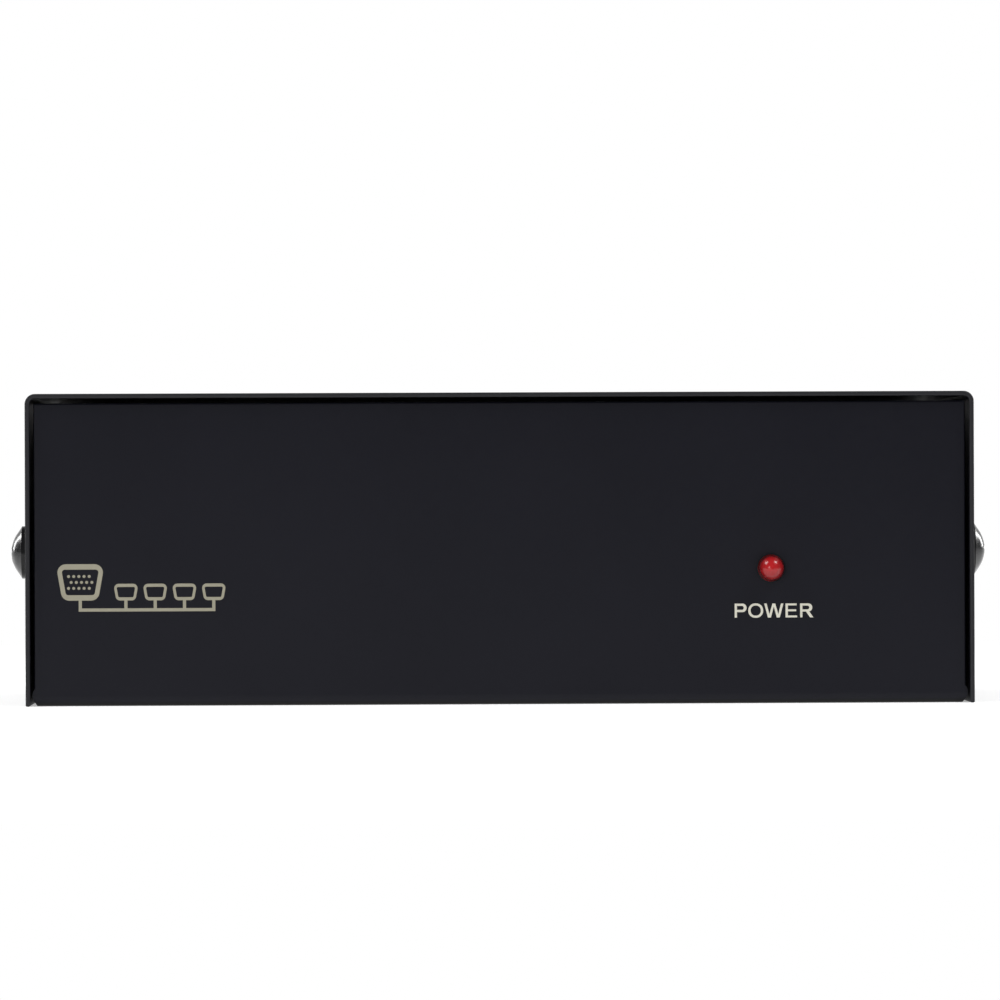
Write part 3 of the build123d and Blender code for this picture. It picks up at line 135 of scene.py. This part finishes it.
def blend(tree, factor, low, high):
    """Mixes two colours by a factor."""
    mix = tree.nodes.new("ShaderNodeMix")
    mix.data_type = "RGBA"
    mix.inputs["A"].default_value = (*low, 1)
    mix.inputs["B"].default_value = (*high, 1)
    tree.links.new(factor, mix.inputs["Factor"])
    return mix.outputs["Result"]


def calculate(tree, operation, *sources):
    """The result of an arithmetic step on one or two values."""
    node = tree.nodes.new("ShaderNodeMath")
    node.operation = operation
    for source, socket in zip(sources, node.inputs):
        tree.links.new(source, socket)
    return node.outputs[0]


def axis_place(tree, kind, axis):
    """A point's place along one axis, in object or generated coordinates."""
    coordinates = tree.nodes.new("ShaderNodeTexCoord")
    split = tree.nodes.new("ShaderNodeSeparateXYZ")
    tree.links.new(coordinates.outputs[kind], split.inputs[0])
    return split.outputs[axis]


def openness(tree, reach, closed):
    """Painted shade from ambient occlusion: 1 in the open, and less down to 0 in hollows and beside
    ledges within a reach in metres.
    """
    around = tree.nodes.new("ShaderNodeAmbientOcclusion")
    around.inputs["Distance"].default_value = reach
    return ramp(tree, around.outputs["AO"], closed, 1.0)


# Materials


def finish(
    name, tints, rough, mottle, grain, stretch=(1, 1, 1), relief=0.0, hollows=None, **sockets
):
    """A material with mottled colour, uneven gloss and a fine grain.

    tints are its low and high colour, rough its range of roughness, mottle and grain the scales of
    the slow and the fine noise, relief the grain's height in metres, hollows the reach and the floor
    of the painted shade in its hollows, and sockets what else is set on the shader.
    """
    low, high = tints
    material = bpy.data.materials.new(name)
    tree, shader = node_set(material)
    slow = noise(tree, mottle, 3.0, stretch)
    fine = noise(tree, grain, 3.0, stretch)
    tint = blend(tree, spread(tree, slow), low, high)
    # Painted shade: the colour is darkened in hollows and beside ledges
    if hollows:
        darkened = blend(tree, openness(tree, *hollows), tuple(HOLLOW_SHADE_TINT * c for c in low), high)
        tree.links.new(tint, darkened.node.inputs["B"])
        tint = darkened
    tree.links.new(tint, shader.inputs["Base Color"])
    tree.links.new(spread(tree, fine, *rough), shader.inputs["Roughness"])
    if relief:
        bump = tree.nodes.new("ShaderNodeBump")
        bump.inputs["Strength"].default_value = 1.0
        bump.inputs["Distance"].default_value = relief
        tree.links.new(fine, bump.inputs["Height"])
        tree.links.new(bump.outputs["Normal"], shader.inputs["Normal"])
    for socket, value in sockets.items():
        shader.inputs[socket.replace("_", " ")].default_value = value
    return material


def tint_over(material, factor, colour):
    """Mixes a colour over a material's own by a factor."""
    tree = material.node_tree
    base = tree.nodes["Principled BSDF"].inputs["Base Color"]
    own = base.links[0].from_socket
    mixed = blend(tree, factor, colour, colour)
    tree.links.new(own, mixed.node.inputs["A"])
    tree.links.new(mixed, base)


def case_paint():
    """Satin black paint, with a painted highlight on the cover's cut edges and painted shade in its
    hollows and beside ledges.
    """
    material = finish(
        "case_paint", PAINT, (0.38, 0.50), 55, 2600, relief=0.000006, hollows=(0.0007, 0.3),
        Specular_IOR_Level=0.2,
    )
    tree = material.node_tree
    from_middle = calculate(tree, "ABSOLUTE", axis_place(tree, "Object", "Y"))
    # Painted highlight: the cover's cut edges are made lighter
    tint_over(material, ramp(tree, from_middle, COVER_EDGE, COVER_EDGE + EDGE_BLEND), LIT_EDGE_PAINT)
    return material


def lamp_lens():
    """Red epoxy, deeper and so darker where it is seen across."""
    material = finish(
        "lamp_lens", LAMP_RED, (0.15, 0.19), 500, 2200, relief=0.000001,
        Specular_IOR_Level=0.3, Coat_Weight=0.4, Coat_Roughness=0.2,
    )
    slant = material.node_tree.nodes.new("ShaderNodeLayerWeight")
    slant.inputs["Blend"].default_value = LENS_RIM
    tint_over(material, slant.outputs["Facing"], DEEP_RED)
    return material


def printing_ink(name, colour):
    """Matt ink with a fine grain."""
    low = tuple(INK_MOTTLE * c for c in colour)
    return finish(name, (low, colour), (0.48, 0.62), 900, 5200, relief=0.000003)


FINISHES = {
    "case_paint": case_paint(),
    "screw_paint": finish(
        "screw_black", SCREW_BLACK, (0.14, 0.22), 300, 3000, relief=0.000002,
        Specular_IOR_Level=0.26,
    ),
    # painted shade in the nickel parts' bores and hollows
    "nickel": finish(
        "nickel_plate", NICKEL, (0.20, 0.32), 120, 2500, stretch=(1, 4, 1), relief=0.000003,
        hollows=(0.003, 0.25), Metallic=1.0,
    ),
    "zinc": finish("zinc_plate", ZINC, (0.26, 0.38), 260, 2600, relief=0.000003, Metallic=1.0),
    "tin": finish("tinned_copper", TIN, (0.24, 0.34), 260, 3000, relief=0.000002, Metallic=1.0),
    "gold": finish("gold_flash", GOLD, (0.18, 0.28), 400, 3500, relief=0.000001, Metallic=1.0),
    "blue_insulator": finish("blue_insulator", BLUE, (0.34, 0.44), 220, 3800, relief=0.000004),
    "black_plastic": finish(
        "black_plastic", BLACK_PLASTIC, (0.36, 0.48), 200, 3600, relief=0.000005,
    ),
    "chip_plastic": finish("chip_epoxy", CHIP_EPOXY, (0.50, 0.62), 500, 4200, relief=0.000006),
    "lens": lamp_lens(),
    "board": finish(
        "solder_mask", SOLDER_MASK, (0.18, 0.30), 380, 1600, stretch=(1, 3, 1), relief=0.000012,
    ),
    "can": finish(
        "drawn_aluminium", ALUMINIUM, (0.20, 0.32), 300, 2400, stretch=(1, 1, 0.1),
        relief=0.000002, Metallic=1.0,
    ),
    "sleeve": finish("capacitor_sleeve", SLEEVE, (0.22, 0.32), 240, 2600, relief=0.000003),
    "resistor": finish("resistor_glaze", GLAZE, (0.24, 0.40), 700, 3800, relief=0.000003),
    "ceramic": finish("capacitor_ceramic", CERAMIC, (0.44, 0.58), 700, 4200, relief=0.000003),
}
ink = printing_ink("cream_ink", INK)
bright_ink = printing_ink("bright_ink", BRIGHT_INK)

for part in frame["record"]["subparts"]:
    mesh = nodes[part["node"]].data
    mesh.materials.clear()
    mesh.materials.append(FINISHES[part["material_slot"]])


# Printed marks

# Outlines of plain letters and digits, on a scale where a capital is 14 high
CAPITAL = 14
STEM = 2.35  # width of the uprights in the bold word on the front
BAR = 1.95  # and of its level bars
MIDDLE_BAR = 6.15  # foot of the middle bar of an E
THIN = 2.0  # line of the bent letters and digits on the rear
SQUARING = 0.92  # below 1, an oval is a little squared
MITRE_LIMIT = 0.45
RAW_DEPTH = 0.5  # keeps a mark's two sheets apart until they are placed


def arc(x, z, radius_x, radius_z, first, last, steps=14):
    """Points along part of an oval, between two angles in degrees."""
    turns = [math.radians(first + (last - first) * step / steps) for step in range(steps + 1)]
    return [(x + radius_x * math.cos(turn), z + radius_z * math.sin(turn)) for turn in turns]


def bowl(right, low, high, radius):
    """Points down the round right end of a bowl, from its top to its foot."""
    x = right - radius
    upper = arc(x, high - radius, radius, radius, 90, 0, 8)
    lower = arc(x, low + radius, radius, radius, 0, -90, 8)
    return upper + lower


def oval(x, z, width, height, steps=40):
    """Points round a slightly squared oval."""
    points = []
    for step in range(steps):
        turn = 2 * math.pi * step / steps
        c, s = math.cos(turn), math.sin(turn)
        points.append((
            x + width / 2 * math.copysign(abs(c) ** SQUARING, c),
            z + height / 2 * math.copysign(abs(s) ** SQUARING, s),
        ))
    return points


def stroke(*points):
    """One loop round a thin bent line, with mitred corners."""
    line = [Vector(point) for point in points]
    left, right = [], []
    for i, point in enumerate(line):
        before = (point - line[i - 1]).normalized() if i else (line[1] - point).normalized()
        after = (line[i + 1] - point).normalized() if i < len(line) - 1 else before
        along = (before + after).normalized()
        across = Vector((-along.y, along.x)) * THIN / 2 / max(along.dot(before), MITRE_LIMIT)
        left.append(tuple(point + across))
        right.append(tuple(point - across))
    return left + right[::-1]


# Each has one or two loops
LETTERS = {
    "1": [stroke((0.4, 10.8), (3.4, 13.0), (3.4, 0))],
    "2": [stroke(*arc(3.8, 9.6, 3.1, 3.4, 165, -28, 12), (1.0, 1.0), (7.6, 1.0))],
    "3": [stroke(*arc(3.6, 10.0, 2.9, 3.0, 160, -70, 10), *arc(3.6, 4.2, 3.3, 3.2, 78, -160, 12))],
    "4": [
        [
            (4.6, 0), (6.6, 0), (6.6, 3.2), (8.4, 3.2), (8.4, 5.1), (6.6, 5.1), (6.6, CAPITAL),
            (4.6, CAPITAL), (-0.2, 4.9), (-0.2, 3.2), (4.6, 3.2),
        ],
        [(4.6, 5.1), (4.6, 10.4), (1.7, 5.1)],
    ],
    "I": [[(0, 0), (2.1, 0), (2.1, CAPITAL), (0, CAPITAL)]],
    "N": [[
        (0, 0), (2.0, 0), (2.0, 9.9), (7.1, 0), (9.2, 0), (9.2, CAPITAL), (7.2, CAPITAL),
        (7.2, 4.1), (2.1, CAPITAL), (0, CAPITAL),
    ]],
    "D": [
        [(0, 0), (0, CAPITAL), *bowl(9.8, 0, CAPITAL, 5.6)],
        [(2.0, 1.9), (2.0, 12.1), *bowl(7.7, 1.9, 12.1, 3.7)],
    ],
    "C": [stroke(*arc(5.2, 7, 4.2, 6.0, 48, 312, 22))],
    "P": [
        [(0, 0), (0, CAPITAL), *bowl(12.0, 5.5, CAPITAL, 4.1), (STEM, 5.5), (STEM, 0)],
        [(STEM, 7.8), (STEM, 11.7), *bowl(9.1, 7.8, 11.7, 1.9)],
    ],
    "O": [oval(7.5, 7, 15.0, 14.5), oval(7.5, 7, 10.2, 10.1)],
    "W": [[
        (0, CAPITAL), (2.5, CAPITAL), (5.2, 3.3), (8.2, CAPITAL), (11.1, CAPITAL), (14.1, 3.3),
        (16.8, CAPITAL), (19.3, CAPITAL), (15.6, 0), (12.6, 0), (9.65, 10.9), (6.7, 0), (3.7, 0),
    ]],
    "E": [[
        (0, 0), (11.6, 0), (11.6, BAR), (STEM, BAR), (STEM, MIDDLE_BAR), (10.7, MIDDLE_BAR),
        (10.7, MIDDLE_BAR + BAR), (STEM, MIDDLE_BAR + BAR), (STEM, CAPITAL - BAR),
        (11.1, CAPITAL - BAR), (11.1, CAPITAL), (0, CAPITAL),
    ]],
    "R": [
        [
            (0, 0), (0, CAPITAL), *bowl(12.2, 5.8, CAPITAL, 3.9)[:-4], (9.2, 5.9), (13.3, 0),
            (9.9, 0), (5.9, 5.8), (STEM, 5.8), (STEM, 0),
        ],
        [(STEM, 8.0), (STEM, 11.8), *bowl(9.2, 8.0, 11.8, 1.85)],
    ],
}

# Where each letter of a word starts, on the same scale
WORD_STARTS = {
    "POWER": (0, 13.6, 29.6, 51.0, 65.6),
    "IN": (0, 5.0),
    "DC": (0, 12.0),
}


def word_loops(word, left, foot, scale):
    """Loops of a word, in millimetres across and up."""
    return [
        [(left + (start + x) * scale, foot + z * scale) for x, z in loop]
        for letter, start in zip(word, WORD_STARTS.get(word, (0,)))
        for loop in LETTERS[letter]
    ]


D_LEAN = math.radians(10)  # slope of the short sides of a fifteen-way port


def d_loop(x, z, width, height, corner, steps=6):
    """Points round a D-shaped outline, long side up, with round corners."""
    inset = height * math.tan(D_LEAN)
    corners = [
        Vector((width / 2, height / 2)),
        Vector((-width / 2, height / 2)),
        Vector((-width / 2 + inset, -height / 2)),
        Vector((width / 2 - inset, -height / 2)),
    ]
    points = []
    for i, point in enumerate(corners):
        before = (corners[i - 1] - point).normalized()
        after = (corners[(i + 1) % 4] - point).normalized()
        half = before.angle(after) / 2
        middle = point + (before + after).normalized() * corner / math.sin(half)
        start = point + before * corner / math.tan(half) - middle
        end = point + after * corner / math.tan(half) - middle
        turn = start.angle_signed(end)
        for step in range(steps + 1):
            swung = middle + Matrix.Rotation(-turn * step / steps, 2) @ start
            points.append((x + swung.x, z + swung.y))
    return points


def d_ring(x, z, width, height, corner, line):
    """Two loops of a D-shaped ring, whose line is as wide all round."""
    slanted = 2 * line * (1 + math.sin(D_LEAN)) / math.cos(D_LEAN)
    inner_width = width - slanted + 2 * line * math.tan(D_LEAN)
    inner_corner = max(corner - line, corner / 4)
    return [
        d_loop(x, z, width, height, corner),
        d_loop(x, z, inner_width, height - 2 * line, inner_corner),
    ]


def dot(x, z, radius, steps=16):
    """Points round a dot."""
    turns = [2 * math.pi * step / steps for step in range(steps)]
    return [(x + radius * math.cos(turn), z + radius * math.sin(turn)) for turn in turns]


def filled_mesh(name, loops):
    """A mesh filled between closed loops, with a front and a back sheet at z over and under 0."""
    curve = bpy.data.curves.new(name + "_curve", "CURVE")
    curve.dimensions = "2D"
    curve.fill_mode = "BOTH"
    curve.extrude = RAW_DEPTH
    for loop in loops:
        spline = curve.splines.new("POLY")
        spline.points.add(len(loop) - 1)
        for point, (x, z) in zip(spline.points, loop):
            point.co = (x, z, 0, 1)
        spline.use_cyclic_u = True
    source = bpy.data.objects.new(name + "_source", curve)
    bpy.context.scene.collection.objects.link(source)
    depsgraph = bpy.context.evaluated_depsgraph_get()
    data = bpy.data.meshes.new_from_object(source.evaluated_get(depsgraph))
    data.name = name
    bpy.data.objects.remove(source)
    bpy.data.curves.remove(curve)
    return data


def printed(name, loops, material, rear=False):
    """A thin printed mesh on a panel, filled between closed loops in millimetres across and up.

    It rides on the case.
    """
    data = filled_mesh(name, loops)
    for vertex in data.vertices:
        out = PANEL_FACE + (FILM if vertex.co.z > 0 else 0.0)
        vertex.co = (vertex.co.x * MM, out if rear else -out, vertex.co.y * MM)
    shape = bmesh.new()
    shape.from_mesh(data)
    bmesh.ops.remove_doubles(shape, verts=shape.verts, dist=WELD)
    bmesh.ops.recalc_face_normals(shape, faces=shape.faces)
    shape.to_mesh(data)
    shape.free()
    data.materials.clear()
    data.materials.append(material)
    piece = bpy.data.objects.new(name, data)
    bpy.context.scene.collection.objects.link(piece)
    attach(piece, "case")


# Picture of one input and the outputs that it feeds, joined by a line, in millimetres
LINE = 0.42
INPUT_X, INPUT_Z = -55.3, 16.3
INPUT_WIDTH, INPUT_HEIGHT = 6.4, 4.8
INPUT_CORNER = 1.1
INPUT_LINE = 0.72
DOT_ROWS, DOT_COLUMNS = 3, 5
DOT_RADIUS = 0.2
DOT_PITCH = 0.68
DOT_ROW_PITCH = 0.78
DOT_ROW_SHIFT = 0.17
OUTPUT_COUNT = 4
OUTPUT_PITCH = 3.85
FIRST_OUTPUT_X, OUTPUT_Z = -49.3, 15.0
OUTPUT_WIDTH, OUTPUT_HEIGHT = 3.3, 2.2
OUTPUT_CORNER = 0.6
PORT_FOOT = 13.9  # top of the line's uprights, at the feet of the ports
BUS_FOOT = 12.45  # lower edge of the line
BUS_TOP = BUS_FOOT + LINE


def input_loops():
    """The input: a D-shaped ring with three staggered rows of dots."""
    loops = d_ring(INPUT_X, INPUT_Z, INPUT_WIDTH, INPUT_HEIGHT, INPUT_CORNER, INPUT_LINE)
    for row in range(DOT_ROWS):
        shift = DOT_ROW_SHIFT if row % 2 else -DOT_ROW_SHIFT
        z = INPUT_Z + ((DOT_ROWS - 1) / 2 - row) * DOT_ROW_PITCH
        for column in range(DOT_COLUMNS):
            x = INPUT_X + (column - (DOT_COLUMNS - 1) / 2) * DOT_PITCH + shift
            loops.append(dot(x, z, DOT_RADIUS))
    return loops


def bus_loop(outputs):
    """The line from the input's foot to the foot of each output."""
    loop = [(INPUT_X - LINE / 2, BUS_FOOT), (outputs[-1] + LINE / 2, BUS_FOOT)]
    for x in reversed(outputs):
        loop += [(x + LINE / 2, PORT_FOOT), (x - LINE / 2, PORT_FOOT), (x - LINE / 2, BUS_TOP)]
        if x != outputs[0]:
            loop.append((x - OUTPUT_PITCH + LINE / 2, BUS_TOP))
    loop.append((INPUT_X + LINE / 2, BUS_TOP))
    loop.append((INPUT_X + LINE / 2, PORT_FOOT))
    loop.append((INPUT_X - LINE / 2, PORT_FOOT))
    return loop


outputs_x = [FIRST_OUTPUT_X + i * OUTPUT_PITCH for i in range(OUTPUT_COUNT)]
picture = input_loops()
picture.append(bus_loop(outputs_x))
for x in outputs_x:
    picture += d_ring(x, OUTPUT_Z, OUTPUT_WIDTH, OUTPUT_HEIGHT, OUTPUT_CORNER, LINE)
printed("mark_outputs", picture, ink)

# The word under the lamp
POWER_LEFT, POWER_FOOT = 30.87, 11.3
POWER_SCALE = 0.1317
printed("mark_power", word_loops("POWER", POWER_LEFT, POWER_FOOT, POWER_SCALE), bright_ink)

# Rear: output numbers, input and power inlet, each over its port. Seen from behind, the letters run
# towards -X.
REAR_SCALE = 0.18
UPPER_FOOT, LOWER_FOOT, INLET_FOOT = 35.9, 20.3, 19.4
MIDDLE_COLUMN, END_COLUMN = -6.517, -41.361
INPUT_PORT, INLET = 28.327, 52.266
REAR_WORDS = [
    ("mark_out_1", "1", MIDDLE_COLUMN, UPPER_FOOT),
    ("mark_out_2", "2", MIDDLE_COLUMN, LOWER_FOOT),
    ("mark_out_3", "3", END_COLUMN, UPPER_FOOT),
    ("mark_out_4", "4", END_COLUMN, LOWER_FOOT),
    ("mark_in", "IN", INPUT_PORT, LOWER_FOOT),
    ("mark_dc", "DC", INLET, INLET_FOOT),
]
for name, word, middle, foot in REAR_WORDS:
    loops = word_loops(word, 0, foot, REAR_SCALE)
    wide = max(x for loop in loops for x, z in loop)
    loops = [[(middle + wide / 2 - x, z) for x, z in loop] for loop in loops]
    printed(name, loops, ink, rear=True)


# Studio

AIM = Vector((0, 0, 0.02))

# Direction, size and power of each soft box
BOX_DISTANCE = 0.95
SOFT_BOXES = {
    "soft_box_left": ((-0.665, -0.248, 0.703), 0.36, 3.4),
    "soft_box_right": ((0.535, -0.364, 0.762), 0.34, 3.1),
}

# Tall narrow lights behind each side, which light up the screws' domes
KICKER_DISTANCE = 0.6
KICKER_DIRECTION = (0.765, 0.595, 0.252)  # on the right, and mirrored on the left
KICKER_WIDTH, KICKER_HEIGHT = 0.09, 0.26
KICKER_POWER = 1.0

# A low fill from the left of the camera, which fades towards the top and the right of the front
FILL_PLACE = Vector((-0.30, -0.68, 0.03))
FILL_AIM = Vector((0.0, -0.033, -0.065))
FILL_POWER = 8.0
FILL_RADIUS = 0.18
FILL_THROW, FILL_SPREAD = 0.72, 0.155  # a distance, and half the width of its cone there


def placed_light(name, kind, place, aim, power):
    """Adds a light of a kind that faces a point, and returns its settings."""
    data = bpy.data.lights.new(name, kind)
    data.energy = power
    light = bpy.data.objects.new(name, data)
    bpy.context.scene.collection.objects.link(light)
    light.location = place
    light.rotation_euler = (aim - light.location).to_track_quat("-Z", "Y").to_euler()
    return data


def area_light(name, direction, distance, width, height, power):
    """Adds a flat soft box that faces the object from a direction."""
    place = AIM + Vector(direction).normalized() * distance
    data = placed_light(name, "AREA", place, AIM, power)
    data.shape = "RECTANGLE"
    data.size = width
    data.size_y = height


for name, (direction, size, power) in SOFT_BOXES.items():
    area_light(name, direction, BOX_DISTANCE, size, size, power)
for name, side in (("kicker_left", -1), ("kicker_right", 1)):
    direction = (side * KICKER_DIRECTION[0], *KICKER_DIRECTION[1:])
    area_light(name, direction, KICKER_DISTANCE, KICKER_WIDTH, KICKER_HEIGHT, KICKER_POWER)
fill = placed_light("low_fill", "SPOT", FILL_PLACE, FILL_AIM, FILL_POWER)
fill.shadow_soft_size = FILL_RADIUS
fill.spot_size = 2 * math.atan(FILL_SPREAD / FILL_THROW)
fill.spot_blend = 1.0


def camera_ray(tree):
    """1 for rays from the camera."""
    return tree.nodes.new("ShaderNodeLightPath").outputs["Is Camera Ray"]


def seen_ray(tree):
    """1 for rays from the camera, a mirror or glass, and 0 for rays that light the object."""
    path = tree.nodes.new("ShaderNodeLightPath")
    direct = calculate(tree, "MAXIMUM", path.outputs["Is Camera Ray"], path.outputs["Is Glossy Ray"])
    return calculate(tree, "MAXIMUM", direct, path.outputs["Is Transmission Ray"])


ROOM_DIM = 0.12  # the room in reflections, apart from what is behind the object
BEHIND_FROM, BEHIND_TO = 0.55, 1.0  # how much a direction points backwards
ROOM_OVERHEAD = 0.45  # share of that which is left overhead
OVERHEAD_FROM, OVERHEAD_TO = 0.15, 0.7  # how much a direction points up
ROOM_LIGHT = 0.5  # what the room gives to light the object


def studio_world():
    """A room that the camera sees white.

    In reflections it is white behind the object, dim elsewhere, and dimmer overhead.
    """
    world = bpy.data.worlds.new("studio")
    bpy.context.scene.world = world
    world.use_nodes = True
    tree = world.node_tree
    tree.nodes.clear()
    output = tree.nodes.new("ShaderNodeOutputWorld")
    background = tree.nodes.new("ShaderNodeBackground")
    background.inputs["Color"].default_value = WHITE
    tree.links.new(background.outputs[0], output.inputs["Surface"])
    back = axis_place(tree, "Generated", "Y")
    up = axis_place(tree, "Generated", "Z")
    behind = ramp(tree, back, BEHIND_FROM, BEHIND_TO, ROOM_DIM, 1.0, smooth=True)
    overhead = ramp(tree, up, OVERHEAD_FROM, OVERHEAD_TO, 1.0, ROOM_OVERHEAD, smooth=True)
    room = calculate(tree, "MULTIPLY", behind, overhead)
    strength = tree.nodes.new("ShaderNodeMix")
    strength.data_type = "FLOAT"
    strength.inputs["A"].default_value = ROOM_LIGHT
    tree.links.new(seen_ray(tree), strength.inputs["Factor"])
    tree.links.new(calculate(tree, "MAXIMUM", room, camera_ray(tree)), strength.inputs["B"])
    tree.links.new(strength.outputs["Result"], background.inputs["Strength"])


FLOOR_REACH = 6.0
FLOOR_CELLS = 24
FLOOR_DROP = 0.00002  # keeps the floor off the bottom of the case
FLOOR_ROUGH = 0.8
FLOOR_GLOSS = 0.1
FLOOR_MOTTLE = 4.0
FLOOR_LIFT = 0.42  # brings the lit floor beside the object up to white
FLOOR_NEAR, FLOOR_FAR = 0.12, 0.35  # the shaded floor ends between them
FLOOR_DIM = 0.08  # floor towards the camera, seen in the paint
DIM_FROM, DIM_TO = -0.34, -0.16  # the dim floor ends between them


def emission(tree, strength):
    """A white emission shader of a given strength."""
    node = tree.nodes.new("ShaderNodeEmission")
    node.inputs["Color"].default_value = WHITE
    node.inputs["Strength"].default_value = strength
    return node


def mixed_shader(tree, factor, first, second):
    """Mixes two shaders by a factor."""
    mix = tree.nodes.new("ShaderNodeMixShader")
    tree.links.new(factor, mix.inputs["Fac"])
    tree.links.new(first, mix.inputs[1])
    tree.links.new(second, mix.inputs[2])
    return mix.outputs[0]


def floor_material():
    """A pale floor that is shaded beside the object and white where it is seen far from it.

    Seen in the paint, it is white beside the object and dim towards the camera.
    """
    material = bpy.data.materials.new("floor_white")
    tree, shader = node_set(material)
    shader.inputs["Roughness"].default_value = FLOOR_ROUGH
    shader.inputs["Specular IOR Level"].default_value = FLOOR_GLOSS
    tint = blend(tree, noise(tree, FLOOR_MOTTLE), *FLOOR_WHITE)
    tree.links.new(tint, shader.inputs["Base Color"])
    lifted = tree.nodes.new("ShaderNodeAddShader")
    tree.links.new(shader.outputs["BSDF"], lifted.inputs[0])
    tree.links.new(emission(tree, FLOOR_LIFT).outputs[0], lifted.inputs[1])
    far_white = emission(tree, 1.0)
    along = axis_place(tree, "Object", "Y")
    reflected = ramp(tree, along, DIM_FROM, DIM_TO, FLOOR_DIM, 1.0, smooth=True)
    bright = calculate(tree, "MAXIMUM", reflected, camera_ray(tree))
    tree.links.new(bright, far_white.inputs["Strength"])
    coordinates = tree.nodes.new("ShaderNodeTexCoord")
    distance = tree.nodes.new("ShaderNodeVectorMath")
    distance.operation = "LENGTH"
    tree.links.new(coordinates.outputs["Object"], distance.inputs[0])
    away = ramp(tree, distance.outputs["Value"], FLOOR_NEAR, FLOOR_FAR, smooth=True)
    seen = mixed_shader(tree, away, lifted.outputs[0], far_white.outputs[0])
    surface = mixed_shader(tree, seen_ray(tree), shader.outputs["BSDF"], seen)
    output = next(node for node in tree.nodes if node.type == "OUTPUT_MATERIAL")
    tree.links.new(surface, output.inputs["Surface"])
    return material


def studio_floor():
    """A flat sheet under the object."""
    data = bpy.data.meshes.new("floor")
    shape = bmesh.new()
    bmesh.ops.create_grid(shape, x_segments=FLOOR_CELLS, y_segments=FLOOR_CELLS, size=FLOOR_REACH)
    shape.to_mesh(data)
    shape.free()
    data.materials.append(floor_material())
    sheet = bpy.data.objects.new("floor", data)
    bpy.context.scene.collection.objects.link(sheet)
    sheet.location.z = -FLOOR_DROP
    return sheet


studio_world()
floor = studio_floor()

camera_data = bpy.data.cameras.new("camera")
camera_data.lens = LENS
camera_data.sensor_width = SENSOR
camera_data.clip_start = CAMERA_NEAR
camera = bpy.data.objects.new("camera", camera_data)
bpy.context.scene.collection.objects.link(camera)
camera.matrix_world = (
    Matrix.Translation(CAMERA_PLACE)
    @ Matrix.Rotation(CAMERA_YAW, 4, "Z")
    @ Matrix.Rotation(math.pi / 2, 4, "X")
    @ Matrix.Rotation(CAMERA_ROLL, 4, "Z")
)
bpy.context.scene.camera = camera
bpy.context.scene.view_settings.view_transform = "Standard"
